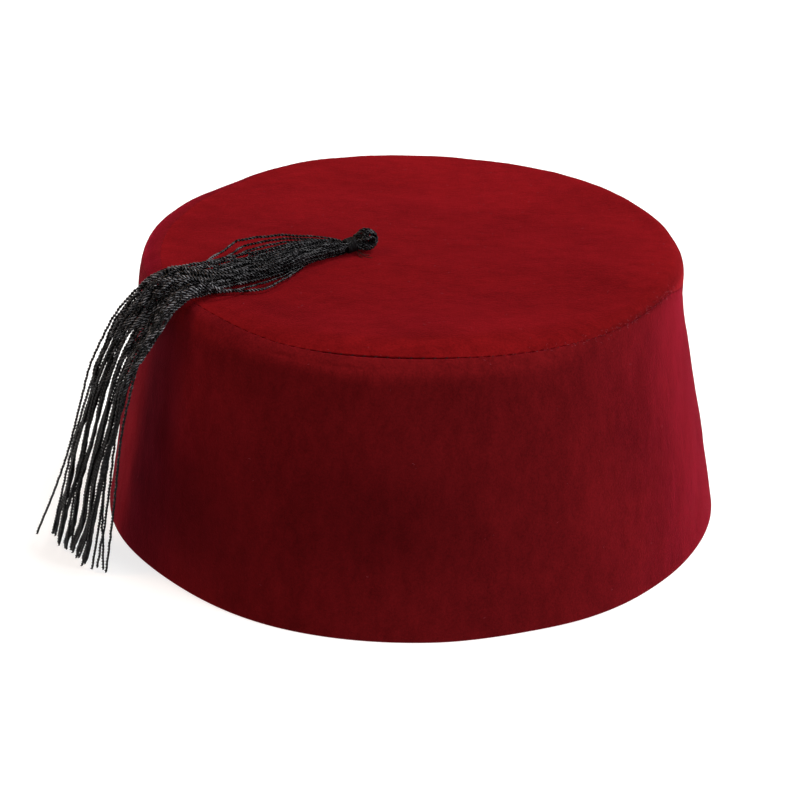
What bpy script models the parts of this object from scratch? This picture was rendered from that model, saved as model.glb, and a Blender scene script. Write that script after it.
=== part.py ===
"""A fez of dark red velvet with a black cord tassel, at its real size.

The hat stands on its rim. It is a stiff cone of cloth, the side band, with a round top disc sewn
into its upper edge. The tassel lies on the disc: a rounded head of folded cords, a wound thread
that binds them, and a skirt of free cords that runs over the edge of the hat and hangs beside it,
down to just above the surface that the hat stands on.

The hat's axis is the upright line through X = AXIS_X, Y = 0. The front is the side towards -Y,
and the tassel falls towards -X. Units are metres; MM and DEG turn plain numbers into them.
"""

import math

import bmesh
import bpy
from mathutils import Vector

MM = 0.001
DEG = math.pi / 180.0

# Driving dimensions of the hat.
HEAD_GIRTH = 580.0 * MM         # round the inside of the rim: an adult medium
CLOTH = 2.5 * MM                # velvet on its stiff backing
HEIGHT = 84.3 * MM
CROWN_RADIUS = 80.2 * MM        # where the wall would meet the top without a rounded shoulder
SHOULDER = 5.0 * MM             # radius of that rounded shoulder
SOFT_EDGE = 9.0 * MM            # how far the front edge's wider rounding reaches from its middle
RIM_FOLD = 0.8 * MM             # radius of the turned lower edge, outside
RIM_FOLD_INSIDE = 0.5 * MM
SEAM_GAP = 0.55 * MM            # between the disc and the band
SEAM_ROLL = 0.7 * MM            # radius of the cloth's edges at the seam
SEAM_UNDERCUT = 0.35 * MM       # how much each edge draws back on its way inwards

# Driving dimensions of the tassel. Its head sits a little off the hat's axis.
HEAD_PLACE = Vector((-14.0, -7.2)) * MM
HEAD_RADIUS = 3.6 * MM
HEAD_LENGTH = 6.8 * MM
NECK_RADIUS = 2.2 * MM          # where the head narrows to the winding
STEM_RADIUS = 1.5 * MM          # the cords pulled tight inside the winding
WINDING_RADIUS = 2.35 * MM      # outside of the wound thread
WINDING_LENGTH = 3.6 * MM
WINDING_EDGE = 0.2 * MM
HEADING = 208.0                 # degrees: the way the tassel leaves its head, seen from above
DROOP = 9.0                     # degrees: how far that way points down to the cloth
PIECE_GAP = 0.3 * MM            # between the tassel's own pieces
CLEARANCE = 0.5 * MM            # between the tassel and the hat
TASSEL_REACH = 107.5 * MM       # from the hat axis to the skirt's furthest point, along X

# How finely the surfaces are divided.
AROUND = 72
WALL_STEPS = 9
SHOULDER_STEPS = 6
LIP_STEPS = 3
FOLD_STEPS = 2
DISC_STEPS = 7
SKIRT_SIDES = 20
SKIRT_STEPS = 3                 # rings from one station of the skirt to the next
TURNED_SIDES = 24
SMOOTH_BELOW = 40.0             # degrees between faces that still shade as one surface

# Where the top disc is sewn to the band. inward is measured along the cloth, in millimetres from
# the middle of the shoulder: above zero the seam lies on the flat top, below zero on the wall.
# Azimuths are in degrees, anticlockwise seen from above; 180 is the tassel's side, 270 the front.
SEAM = (
    # azimuth, inward
    (0.0, -9.0),
    (12.0, -7.5),
    (35.0, -3.0),
    (60.0, 0.0),
    (90.0, 1.2),
    (125.0, 3.0),
    (155.0, 4.6),
    (175.0, 4.0),
    (200.0, 2.2),
    (213.0, 1.8),
    (226.0, 1.4),
    (233.0, 0.8),
    (240.0, 0.0),
    (246.0, -0.3),
    (252.0, -0.3),
    (266.0, 0.0),
    (280.0, -0.4),
    (290.0, -1.1),
    (300.0, -1.8),
    (315.0, -2.4),
    (337.0, -2.4),
    (348.0, -6.0),
)

# Dents and bulges of the soft shape, in degrees and millimetres. inward is the seam's measure,
# out is how far the cloth stands out; both fade to nothing at spread degrees and reach away.
BULGES = (
    # name, azimuth, spread, inward, reach, out
    ("disc edge rolled over, right", 358.0, 34.0, -4.0, 9.0, 1.0),
    ("swell of the back edge, right", 16.0, 16.0, 1.0, 8.0, 0.7),
    ("swell of the back edge, left", 120.0, 20.0, 1.0, 8.0, 0.3),
    ("dip of the back edge, left", 144.0, 16.0, 1.0, 8.0, -0.4),
    ("upper left corner pushed out", 180.0, 42.0, -7.0, 15.0, 1.6),
    ("wall drawn in below the rolled edge", 0.0, 40.0, -20.0, 16.0, -0.5),
    ("hollow of the right wall", 358.0, 45.0, -44.0, 26.0, -0.5),
    ("full lower right", 352.0, 20.0, -82.0, 30.0, 0.4),
    ("full lower front right", 306.0, 17.0, -82.0, 50.0, 0.6),
    ("slack lower front", 289.0, 15.0, -82.0, 50.0, -0.6),
    ("full lower front", 252.0, 20.0, -82.0, 50.0, 0.2),
    ("flat lower front left", 222.0, 26.0, -80.0, 45.0, -0.9),
    ("shallow sag of the top", 300.0, 70.0, 45.0, 34.0, -0.5),
    ("edge rounded off, front left", 244.0, 42.0, 0.0, 8.7, -2.2),
    ("edge rounded off, front right", 286.0, 42.0, 0.0, 8.7, -2.2),
)

# Where the rim lifts off the surface that the hat stands on.
LIFTS = (
    # name, azimuth, spread, height
    ("front left", 214.0, 26.0, 0.7),
    ("front right", 303.0, 16.0, 0.2),
)
LIFT_REACH = 14.0 * MM          # how far up the wall it is felt

# Stations of the tassel's skirt after it leaves the winding. off is the space left between the
# hat and the cords, width and depth are the bundle's own.
SKIRT = (
    # name, azimuth, inward, off, width, depth
    ("opens out", 204.0, 50.0, 0.0, 9.5, 4.8),
    ("spread", 206.0, 43.5, 0.0, 14.0, 5.0),
    ("widest on the top", 209.6, 32.0, 0.0, 20.0, 5.0),
    ("drawn together", 210.6, 21.0, 0.0, 19.5, 5.4),
    ("pinched", 212.0, 9.5, 0.0, 17.5, 6.0),
    ("at the shoulder", 211.6, 1.0, 0.2, 18.0, 6.0),
    ("over the edge", 210.6, -4.5, 2.6, 19.5, 6.0),
    ("leaves the wall", 209.2, -14.0, 7.4, 21.0, 6.2),
    ("upper fall", 208.5, -26.5, 11.4, 22.5, 6.6),
    ("middle fall", 207.5, -40.0, 12.9, 24.0, 7.0),
    ("lower fall", 206.4, -60.0, 13.8, 27.0, 7.5),
    ("ends", 204.2, -84.0, 11.8, 31.0, 8.0),
)

RIM_RADIUS = HEAD_GIRTH / (2.0 * math.pi) + CLOTH
AXIS_X = (TASSEL_REACH - RIM_RADIUS) / 2.0              # the origin is below the whole's middle
TAPER = math.atan((RIM_RADIUS - CROWN_RADIUS) / HEIGHT)     # the wall's lean
SHOULDER_TURN = math.pi / 2.0 - TAPER
HALF_SHOULDER = SHOULDER * SHOULDER_TURN / 2.0          # half its length along the cloth
SHOULDER_CENTRE_R = CROWN_RADIUS - SHOULDER * math.tan(SHOULDER_TURN / 2.0)
SHOULDER_CENTRE_Z = HEIGHT - SHOULDER
WALL_TOP_Z = SHOULDER_CENTRE_Z + SHOULDER * math.sin(TAPER)
WALL_FOOT = -HALF_SHOULDER - WALL_TOP_Z / math.cos(TAPER)   # inward at the rim
DISC_CENTRE = HALF_SHOULDER + SHOULDER_CENTRE_R             # inward at the axis
TASSEL_WAY = Vector((math.cos(HEADING * DEG) * math.cos(DROOP * DEG),
                     math.sin(HEADING * DEG) * math.cos(DROOP * DEG), -math.sin(DROOP * DEG)))
HEAD_CENTRE = Vector((HEAD_PLACE.x, HEAD_PLACE.y, HEIGHT + CLEARANCE + HEAD_RADIUS))


def steps(first, last, count):
    """The count values that lead from first to last, without first itself."""
    return [first + (last - first) * (index + 1) / count for index in range(count)]


def fade(distance, reach):
    """One at no distance, nothing from the reach on, smooth in between."""
    if abs(distance) >= reach:
        return 0.0
    return 0.5 + 0.5 * math.cos(math.pi * distance / reach)


def apart(azimuth, other):
    """The angle between two azimuths, the short way round."""
    return (azimuth - other + 180.0) % 360.0 - 180.0


def along_rows(rows, at):
    """Values read from rows of numbers at a place in their first column, on a smooth curve."""
    index = max(1, min(len(rows) - 3, sum(row[0] <= at for row in rows) - 1))
    before, start, end, after = rows[index - 1:index + 3]
    span = end[0] - start[0]
    part = (at - start[0]) / span
    values = []
    for column in range(1, len(start)):
        low, high = start[column], end[column]
        rise = (high - before[column]) / (end[0] - before[0]) * span
        next_rise = (after[column] - low) / (after[0] - start[0]) * span
        values.append(low + rise * part
                      + (3.0 * (high - low) - 2.0 * rise - next_rise) * part ** 2
                      + (2.0 * (low - high) + rise + next_rise) * part ** 3)
    return values


def seam_at(azimuth):
    """The seam's inward distance at an azimuth."""
    rows = [(row[0] + turn, row[1]) for turn in (-360.0, 0.0, 360.0) for row in SEAM]
    return along_rows(rows, azimuth % 360.0)[0] * MM


def bulge(azimuth, inward):
    """How far the cloth stands out from the plain cone."""
    return sum(out * MM * fade(apart(azimuth, middle), spread) * fade(inward / MM - place, reach)
               for _, middle, spread, place, reach, out in BULGES)


def lift(azimuth, height):
    """How far the rim's lift raises the cloth."""
    total = sum(rise * MM * fade(apart(azimuth, middle), spread)
                for _, middle, spread, rise in LIFTS)
    return total * fade(height, LIFT_REACH)


def meridian(inward):
    """Radius, height and the normal's slope of the plain outer surface."""
    if inward > HALF_SHOULDER:
        return DISC_CENTRE - inward, HEIGHT, math.pi / 2.0
    if inward > -HALF_SHOULDER:
        slope = TAPER + (inward + HALF_SHOULDER) / SHOULDER
        return (SHOULDER_CENTRE_R + SHOULDER * math.cos(slope),
                SHOULDER_CENTRE_Z + SHOULDER * math.sin(slope), slope)
    height = (inward - WALL_FOOT) * math.cos(TAPER)
    return RIM_RADIUS - height * math.tan(TAPER), height, TAPER


def shaped(azimuth, radius, height, inward):
    """A point of the hat, moved by its bulges and by the lift of its rim."""
    out = bulge(azimuth, inward)
    rise = min(max(0.5 + 0.5 * inward / SOFT_EDGE, 0.0), 1.0)   # level on the wall, up on the top
    upwards = rise * math.pi / 2.0
    radius += out * math.cos(upwards)
    height += out * math.sin(upwards)
    angle = azimuth * DEG
    return Vector((radius * math.cos(angle), radius * math.sin(angle),
                   height + lift(azimuth, height)))


def on_cloth(azimuth, inward, depth):
    """A point of the cloth, depth below its outer surface."""
    radius, height, slope = meridian(inward)
    return shaped(azimuth, radius - depth * math.cos(slope), height - depth * math.sin(slope),
                  inward)


def rim_fold(azimuth, foot_radius, fold, inset):
    """The rounding at one side of the rim, from its flat underside up to the wall."""
    points = []
    for index in range(FOLD_STEPS + 1):
        angle = index / FOLD_STEPS * math.pi / 2.0
        height = fold * (1.0 - math.cos(angle))
        radius = foot_radius - height * math.tan(TAPER) - inset * fold * (1.0 - math.sin(angle))
        points.append(shaped(azimuth, radius, height, WALL_FOOT))
    return points


def seam_lip(azimuth, edge, side):
    """The rounded edge of the cloth at the seam, from its outside to its inside face."""
    points = []
    for index in range(LIP_STEPS + 1):
        angle = index / LIP_STEPS * math.pi / 2.0
        points.append(on_cloth(azimuth, edge + side * SEAM_ROLL * (1.0 - math.sin(angle)),
                               SEAM_ROLL * (1.0 - math.cos(angle))))
    points.append(on_cloth(azimuth, edge + side * SEAM_UNDERCUT, CLOTH))
    return points


def band_section(azimuth):
    """The band's cross-section: up its outside, over the seam's lip and down its inside."""
    edge = seam_at(azimuth) - SEAM_GAP / 2.0
    knee = min(-SOFT_EDGE, edge - SHOULDER)
    first = WALL_FOOT + RIM_FOLD
    places = steps(first, knee, WALL_STEPS) + steps(knee, edge - SEAM_ROLL, SHOULDER_STEPS)[:-1]
    inner_foot = RIM_RADIUS - CLOTH / math.cos(TAPER)
    return (rim_fold(azimuth, RIM_RADIUS, RIM_FOLD, 1.0)
            + [on_cloth(azimuth, place, 0.0) for place in places]
            + seam_lip(azimuth, edge, -1.0)
            + [on_cloth(azimuth, place, CLOTH) for place in reversed(places)]
            + rim_fold(azimuth, inner_foot, RIM_FOLD_INSIDE, -1.0)[::-1])


def disc_section(azimuth):
    """The disc's outline from the middle of its top, over its edge, to the middle below."""
    edge = seam_at(azimuth) + SEAM_GAP / 2.0
    knee = max(SOFT_EDGE, edge + SHOULDER)
    places = (steps(DISC_CENTRE, knee, DISC_STEPS)
              + steps(knee, edge + SEAM_ROLL, SHOULDER_STEPS)[:-1])
    return ([on_cloth(azimuth, place, 0.0) for place in places]
            + seam_lip(azimuth, edge, 1.0)
            + [on_cloth(azimuth, place, CLOTH) for place in reversed(places)])


def skinned(name, rings, poles=None):
    """A closed mesh through rings of points, which ends in two poles or joins itself."""
    shell = bmesh.new()
    rows = [[shell.verts.new(point) for point in ring] for ring in rings]
    sides = len(rows[0])
    pairs = list(zip(rows, rows[1:]))
    if poles is None:
        pairs.append((rows[-1], rows[0]))
    for row, following in pairs:
        for index in range(sides):
            after = (index + 1) % sides
            shell.faces.new((row[index], row[after], following[after], following[index]))
    for point, row in zip(poles or (), (rows[0], rows[-1])):
        pole = shell.verts.new(point)
        for index in range(sides):
            shell.faces.new((pole, row[index], row[(index + 1) % sides]))
    bmesh.ops.recalc_face_normals(shell, faces=shell.faces)
    mesh = bpy.data.meshes.new(name)
    shell.to_mesh(mesh)
    shell.free()
    mesh.shade_smooth()
    mesh.set_sharp_from_angle(angle=SMOOTH_BELOW * DEG)
    return mesh


def turned(name, profile, closed):
    """A piece turned about its own X axis from (along, radius) points."""
    rings = []
    for along, radius in profile:
        angles = [index / TURNED_SIDES * 2.0 * math.pi for index in range(TURNED_SIDES)]
        rings.append([Vector((along, radius * math.cos(angle), radius * math.sin(angle)))
                      for angle in angles])
    if closed:
        return skinned(name, rings)
    return skinned(name, rings[1:-1], (rings[0][0], rings[-1][0]))


def make_material(name, colour, roughness, sheen):
    material = bpy.data.materials.new(name)
    material.use_nodes = True
    shader = material.node_tree.nodes["Principled BSDF"]
    shader.inputs["Base Color"].default_value = colour
    shader.inputs["Roughness"].default_value = roughness
    shader.inputs["Metallic"].default_value = 0.0
    shader.inputs["Sheen Weight"].default_value = sheen
    return material


def add_piece(name, mesh, material, parent):
    """One named piece of the hat, in its parent's space."""
    piece = bpy.data.objects.new(name, mesh)
    mesh.materials.append(material)
    piece.parent = parent
    bpy.context.scene.collection.objects.link(piece)
    return piece


def add_empty(name, location, turn, parent=None):
    empty = bpy.data.objects.new(name, None)
    empty.location = location
    empty.rotation_euler = turn
    empty.parent = parent
    bpy.context.scene.collection.objects.link(empty)
    return empty


def make_side_band(material, parent):
    sections = [band_section(index * 360.0 / AROUND) for index in range(AROUND)]
    return add_piece("side_band", skinned("side_band", sections), material, parent)


def make_top_disc(material, parent):
    sections = [disc_section(index * 360.0 / AROUND) for index in range(AROUND)]
    rings = [list(ring) for ring in zip(*sections)]
    poles = (on_cloth(0.0, DISC_CENTRE, 0.0), on_cloth(0.0, DISC_CENTRE, CLOTH))
    return add_piece("top_disc", skinned("top_disc", rings, poles), material, parent)


def make_tassel_head(material, parent):
    """The folded cords: a rounded head, and their stem inside the winding."""
    half = HEAD_LENGTH / 2.0
    profile = [(-half, 0.0)]
    for angle in (150.0, 120.0, 90.0, 60.0, 35.0):
        profile.append((half * math.cos(angle * DEG), HEAD_RADIUS * math.sin(angle * DEG)))
    profile.append((half, NECK_RADIUS))
    profile.append((half, STEM_RADIUS))
    profile.append((half + PIECE_GAP + WINDING_LENGTH, STEM_RADIUS))
    profile.append((half + PIECE_GAP + WINDING_LENGTH, 0.0))
    return add_piece("tassel_head", turned("tassel_head", profile, False), material, parent)


def make_tassel_binding(material, parent):
    """The winding: a tight sleeve of thread round the stem."""
    start = HEAD_LENGTH / 2.0 + PIECE_GAP
    end = start + WINDING_LENGTH
    bore = STEM_RADIUS + PIECE_GAP
    profile = [(start, bore), (start, WINDING_RADIUS - WINDING_EDGE),
               (start + WINDING_EDGE, WINDING_RADIUS), (end - WINDING_EDGE, WINDING_RADIUS),
               (end, WINDING_RADIUS - WINDING_EDGE), (end, bore)]
    return add_piece("tassel_binding", turned("tassel_binding", profile, True), material, parent)


def skirt_start():
    """The station where the skirt leaves the winding."""
    place = HEAD_CENTRE + TASSEL_WAY * (HEAD_LENGTH / 2.0 + WINDING_LENGTH + 2.0 * PIECE_GAP)
    azimuth = math.atan2(place.y, place.x) / DEG % 360.0
    size = 2.0 * WINDING_RADIUS / MM
    lowest = (place.z - WINDING_RADIUS - CLEARANCE - HEIGHT) / MM
    return "leaves the winding", azimuth, (DISC_CENTRE - place.xy.length) / MM, lowest, size, size


def skirt_stations():
    """The skirt's rows as numbers, with smooth rows worked out between them."""
    table = [row[1:] for row in (skirt_start(),) + SKIRT]
    table = [table[0]] + table + [table[-1]]
    rows = [(float(index),) + row for index, row in enumerate(table)]
    count = (len(rows) - 3) * SKIRT_STEPS
    return [along_rows(rows, 1.0 + index / SKIRT_STEPS) for index in range(count + 1)]


def make_tassel_skirt(material, parent):
    """The outer form of the free cords, one closed body."""
    centres = []
    normals = []
    sizes = []
    for azimuth, inward, off, width, depth in skirt_stations():
        centres.append(on_cloth(azimuth, inward * MM, -CLEARANCE - (off + depth / 2.0) * MM))
        slope = meridian(inward * MM)[2]
        normals.append(Vector((math.cos(slope) * math.cos(azimuth * DEG),
                               math.cos(slope) * math.sin(azimuth * DEG), math.sin(slope))))
        sizes.append((width * MM / 2.0, depth * MM / 2.0))
    rings = []
    last = len(centres) - 1
    for index, (centre, normal, (half_width, half_depth)) in enumerate(zip(centres, normals, sizes)):
        ahead = TASSEL_WAY if index == 0 else centres[min(index + 1, last)] - centres[index - 1]
        side = ahead.cross(normal).normalized()
        outward = side.cross(ahead).normalized()
        angles = [step / SKIRT_SIDES * 2.0 * math.pi for step in range(SKIRT_SIDES)]
        rings.append([centre + side * half_width * math.cos(angle)
                      + outward * half_depth * math.sin(angle) for angle in angles])
    mesh = skinned("tassel_skirt", rings, (centres[0], centres[-1]))
    return add_piece("tassel_skirt", mesh, material, parent)


def build():
    for thing in list(bpy.data.objects):
        bpy.data.objects.remove(thing, do_unlink=True)
    velvet = make_material("red_velvet", (0.22, 0.008, 0.016, 1.0), 0.9, 0.6)
    cord = make_material("black_cord", (0.012, 0.012, 0.014, 1.0), 0.35, 0.1)
    hat = add_empty("hat_axis", (AXIS_X, 0.0, 0.0), (0.0, 0.0, 0.0))
    tassel = add_empty("tassel_axis", HEAD_CENTRE, (0.0, DROOP * DEG, HEADING * DEG), hat)
    make_side_band(velvet, hat)
    make_top_disc(velvet, hat)
    make_tassel_head(cord, tassel)
    make_tassel_binding(cord, tassel)
    make_tassel_skirt(cord, hat)


build()
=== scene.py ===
"""The looks of a dark red velvet fez with a black cord tassel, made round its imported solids.

The hat's two velvet pieces are skinned finely over the same shape that the solids have, with the
groove, the stitches and the puckers of their seam. The tassel is made cord by cord: each is a
two-ply twist that runs from the binding over the cloth and hangs beside the hat. Units are metres,
in the row frame: +Z up, the front towards -Y, the tassel towards -X.
"""

import math

import bpy
import numpy as np
from mathutils import Matrix, Vector


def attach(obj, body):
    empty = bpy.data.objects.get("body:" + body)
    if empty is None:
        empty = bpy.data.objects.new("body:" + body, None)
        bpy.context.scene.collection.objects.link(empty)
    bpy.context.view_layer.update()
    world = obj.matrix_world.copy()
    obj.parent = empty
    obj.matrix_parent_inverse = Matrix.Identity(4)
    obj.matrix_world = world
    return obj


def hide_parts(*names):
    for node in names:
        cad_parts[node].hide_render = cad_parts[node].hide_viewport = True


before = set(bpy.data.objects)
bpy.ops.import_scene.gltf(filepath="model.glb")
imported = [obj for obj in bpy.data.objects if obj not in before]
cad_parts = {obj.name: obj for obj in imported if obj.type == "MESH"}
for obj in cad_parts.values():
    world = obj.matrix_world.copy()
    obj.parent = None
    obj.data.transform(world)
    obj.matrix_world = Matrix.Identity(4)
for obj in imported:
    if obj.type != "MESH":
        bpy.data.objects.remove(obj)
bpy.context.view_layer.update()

BODY = "root"

MM = 0.001
DEG = math.pi / 180.0
GOLDEN_TURN = math.pi * (3.0 - math.sqrt(5.0))

# The hat's form, as its solids have it.
HEAD_GIRTH = 580.0 * MM
CLOTH = 2.5 * MM
HEIGHT = 84.3 * MM
CROWN_RADIUS = 80.2 * MM
SHOULDER = 5.0 * MM
SOFT_EDGE = 9.0 * MM            # how far the relief's way out takes to turn upwards
RIM_FOLD = 0.8 * MM
RIM_FOLD_INSIDE = 0.5 * MM
TASSEL_REACH = 107.5 * MM       # from the hat's axis to the tassel's far side
RIM_RADIUS = HEAD_GIRTH / (2.0 * math.pi) + CLOTH
AXIS_X = (TASSEL_REACH - RIM_RADIUS) / 2.0
TAPER = math.atan((RIM_RADIUS - CROWN_RADIUS) / HEIGHT)
SHOULDER_TURN = math.pi / 2.0 - TAPER
HALF_SHOULDER = SHOULDER * SHOULDER_TURN / 2.0
SHOULDER_CENTRE_R = CROWN_RADIUS - SHOULDER * math.tan(SHOULDER_TURN / 2.0)
SHOULDER_CENTRE_Z = HEIGHT - SHOULDER
WALL_TOP_Z = SHOULDER_CENTRE_Z + SHOULDER * math.sin(TAPER)
WALL_FOOT = -HALF_SHOULDER - WALL_TOP_Z / math.cos(TAPER)
DISC_CENTRE = HALF_SHOULDER + SHOULDER_CENTRE_R

# The seam's distance inward along the cloth from the middle of the shoulder, in millimetres.
SEAM = (
    # azimuth, inward
    (0.0, -9.0), (12.0, -7.5), (35.0, -3.0), (60.0, 0.0), (90.0, 1.2), (125.0, 3.0),
    (155.0, 4.6), (175.0, 4.0), (200.0, 2.2), (213.0, 1.8), (226.0, 1.4), (233.0, 0.8),
    (240.0, 0.0), (246.0, -0.3), (252.0, -0.3), (266.0, 0.0), (280.0, -0.4), (290.0, -1.1),
    (300.0, -1.8), (315.0, -2.4), (337.0, -2.4), (348.0, -6.0),
)

# Dents and bulges, in degrees and millimetres, fading to nothing at spread and reach.
BULGES = (
    # name, azimuth, spread, inward, reach, out
    ("disc edge rolled over, right", 358.0, 34.0, -4.0, 9.0, 1.0),
    ("swell of the back edge, right", 16.0, 16.0, 1.0, 8.0, 0.7),
    ("swell of the back edge, left", 120.0, 20.0, 1.0, 8.0, 0.3),
    ("dip of the back edge, left", 144.0, 16.0, 1.0, 8.0, -0.4),
    ("upper left corner pushed out", 180.0, 42.0, -7.0, 15.0, 1.6),
    ("wall drawn in below the rolled edge", 0.0, 40.0, -20.0, 16.0, -0.5),
    ("hollow of the right wall", 358.0, 45.0, -44.0, 26.0, -0.5),
    ("full lower right", 352.0, 20.0, -82.0, 30.0, 0.4),
    ("full lower front right", 306.0, 17.0, -82.0, 50.0, 0.6),
    ("slack lower front", 289.0, 15.0, -82.0, 50.0, -0.6),
    ("full lower front", 252.0, 20.0, -82.0, 50.0, 0.2),
    ("flat lower front left", 222.0, 26.0, -80.0, 45.0, -0.9),
    ("shallow sag of the top", 300.0, 70.0, 45.0, 34.0, -0.5),
    ("edge rounded off, front left", 244.0, 42.0, 0.0, 8.7, -2.2),
    ("edge rounded off, front right", 286.0, 42.0, 0.0, 8.7, -2.2),
)

# Shallow creases and puckers that only the looks have, in the same measures.
CREASES = (
    # name, azimuth, spread, inward, reach, out
    ("pucker under the seam", 256.0, 9.0, -4.9, 1.6, -0.22),
    ("ridge under the pucker", 255.0, 10.0, -7.2, 2.0, 0.12),
    ("pucker at the left", 243.0, 5.0, -4.2, 1.4, -0.14),
    ("pucker at the right", 301.0, 6.0, -5.4, 1.5, -0.12),
    ("crease of the top", 251.0, 9.0, 12.6, 1.5, -0.16),
    ("ridge beside that crease", 251.0, 10.0, 15.2, 2.0, 0.10),
    ("second crease of the top", 244.0, 7.0, 9.6, 1.4, -0.12),
)

# Where the rim stands off the floor, fading to nothing at spread and LIFT_REACH above it.
LIFTS = (
    # name, azimuth, spread, height
    ("front left", 214.0, 26.0, 0.7),
    ("front right", 303.0, 16.0, 0.2),
)
LIFT_REACH = 14.0 * MM

# Painted light and shade on the velvet, as a share of its colour: mostly where the lamps light it or
# the tassel shades it, partly where the pile lies differently.
PAINTED_SHADING = (
    # name, azimuth, spread, inward, reach, share
    # painted light: the lit band where the cloth bends over the front edge
    ("edge of the top, front left", 246.0, 26.0, 4.5, 4.5, 0.18),
    ("edge of the top, front", 272.0, 26.0, 5.5, 5.5, 0.42),
    ("edge of the top, front right", 298.0, 26.0, 4.5, 4.5, 0.14),
    ("bent over the edge, left", 218.0, 26.0, 0.0, 4.5, 0.55),
    ("bent over the edge, front left", 244.0, 26.0, 0.0, 4.5, 0.42),
    ("bent over the edge, front", 270.0, 26.0, 0.0, 4.5, 0.42),
    ("bent over the edge, front right", 296.0, 26.0, 0.0, 4.5, 0.32),
    ("below the bend, left", 218.0, 26.0, -4.5, 4.5, 0.70),
    ("below the bend, front left", 244.0, 26.0, -4.5, 4.5, 0.50),
    ("below the bend, front", 270.0, 26.0, -4.5, 4.5, 0.46),
    ("below the bend, front right", 296.0, 26.0, -4.5, 4.5, 0.32),
    ("upper left of the front", 243.0, 22.0, -26.0, 20.0, 0.14),
    ("lower left", 225.0, 21.0, -60.0, 34.0, -0.50),
    # painted shadow of the tassel on the wall, and painted light on the lit strip of the left edge
    # and the streak beside the shadow
    ("beside the tassel", 209.5, 9.5, -40.0, 44.0, -0.44),
    ("where the left edge turns dark", 205.2, 4.6, -48.0, 46.0, -0.36),
    ("brightest line of the left edge", 199.4, 3.6, -46.0, 44.0, 0.26),
    ("pale streak beside the tassel", 219.5, 6.5, -30.0, 36.0, 0.34),
    ("edge of the left", 196.0, 9.0, -50.0, 44.0, 0.72),
    ("middle of the front", 268.0, 34.0, -50.0, 30.0, -0.32),
    ("right of the wall", 334.0, 32.0, -45.0, 55.0, -0.04),
    ("front of the top", 262.0, 60.0, 20.0, 14.0, -0.18),
    ("top beside the tassel", 230.0, 28.0, 15.0, 12.0, -0.30),
    ("back of the top", 94.0, 100.0, 16.0, 40.0, 0.36),
    ("right edge of the top", 350.0, 40.0, 4.0, 14.0, 0.18),
    ("left edge of the top", 172.0, 34.0, 0.0, 12.0, 0.32),
    ("right edge of the wall", 354.0, 17.0, -50.0, 50.0, -0.24),
    # painted shade along the seam at the right
    ("painted shade along the seam", 328.0, 28.0, -1.9, 1.8, -0.34),
)

# The seam as it looks: its two rolled edges nearly meet, and each stitch draws them tighter.
SEAM_GAP = 0.08 * MM
GAP_AT_STITCH = 0.1             # the share of the gap that a stitch leaves
SEAM_GAP_OPEN = 0.26 * MM       # more, where the seam gapes at the front
SEAM_OPEN_AT = 266.0
SEAM_OPEN_SPREAD = 24.0
SEAM_ROLL = 0.46 * MM
SEAM_ROLL_CLOSED = 0.03 * MM    # at a stitch and where the pile covers the seam
STITCH_HOLDS = (0.45, 0.9)      # the pull at which the edges start to close, and are closed
GAPE_JOINS = (0.1, 0.6)         # the gape at which a stitch starts to fail at that, and fails
SEAM_COVERED = (
    # azimuth, spread, share; most of the back, where it hardly shows, and two worn stretches
    (130.0, 110.0, 1.0),
    (326.0, 36.0, 0.55),
    (222.0, 36.0, 0.45),
)
COVER_EDGE = 0.4                # where its fading is above this, a stretch is wholly covered
COVERED_GAP = 0.6               # how much of the gap, the roll and the valley the pile hides
COVERED_ROLL = 0.85
COVERED_VALLEY = 0.75
SEAM_UNDERCUT = 0.35 * MM
STITCH = 3.35 * MM
VALLEY = 0.24 * MM              # how far the cloth dips towards the seam
VALLEY_REACH = 3.0 * MM
VALLEY_AT_STITCH = 0.8          # the share of the dip that a stitch takes away
HEM = 11.0 * MM                 # velvet turned up inside the rim
HEM_DEPTH = 0.35 * MM
HEM_EDGE = 0.8 * MM
HEM_EDGE_SHARES = (0.7, 0.3, 0.0)
HEM_FOOT = 1.2 * MM             # its lowest row
HEM_RISES = (1.0 * MM, 4.0 * MM)    # above the rim, from nothing to its depth
TURNING = 2.8 * MM              # how far the turned edges reach to each side of the seam
TURNING_DEPTHS = (CLOTH + 0.10 * MM, CLOTH + 0.50 * MM)

# Slow unevenness of the soft cloth, calm beside the rim, and of the valley along the seam.
SWELLS = (
    # wavelength, height, seed
    (52.0 * MM, 0.20 * MM, 3),
    (19.0 * MM, 0.07 * MM, 4),
    (7.5 * MM, 0.022 * MM, 5),
)
RIM_CALM = 12.0 * MM
VALLEY_SWELL = (30.0 * MM, 0.375, 8)
SWELL_WAVES = 14
SWELL_SPREAD = (0.75, 1.35)     # of the single waves' lengths

# How finely the cloth is skinned.
AROUND = 900
AZIMUTHS = np.arange(AROUND) * 360.0 / AROUND
WALL_STEPS = 40
SHOULDER_STEPS = 20
LIP_STEPS = 6
FOLD_STEPS = 4
HEM_STEPS = 6
INSIDE_STEPS = 12
DISC_STEPS = 36

# The tassel's head, its winding and the way it points.
HEAD_PLACE = Vector((-14.0, -7.2)) * MM
HEAD_RADIUS = 3.6 * MM
HEAD_LENGTH = 6.8 * MM
WINDING_RADIUS = 2.35 * MM
WINDING_LENGTH = 3.6 * MM
HEADING = 208.0                 # the azimuth it points to from its head
DROOP = 9.0                     # degrees below level
PIECE_GAP = 0.3 * MM            # between two pieces of the tassel
CLEARANCE = 0.5 * MM            # between the tassel and the cloth
HEAD_CENTRE = Vector((AXIS_X + HEAD_PLACE.x, HEAD_PLACE.y, HEIGHT + CLEARANCE + HEAD_RADIUS))

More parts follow.
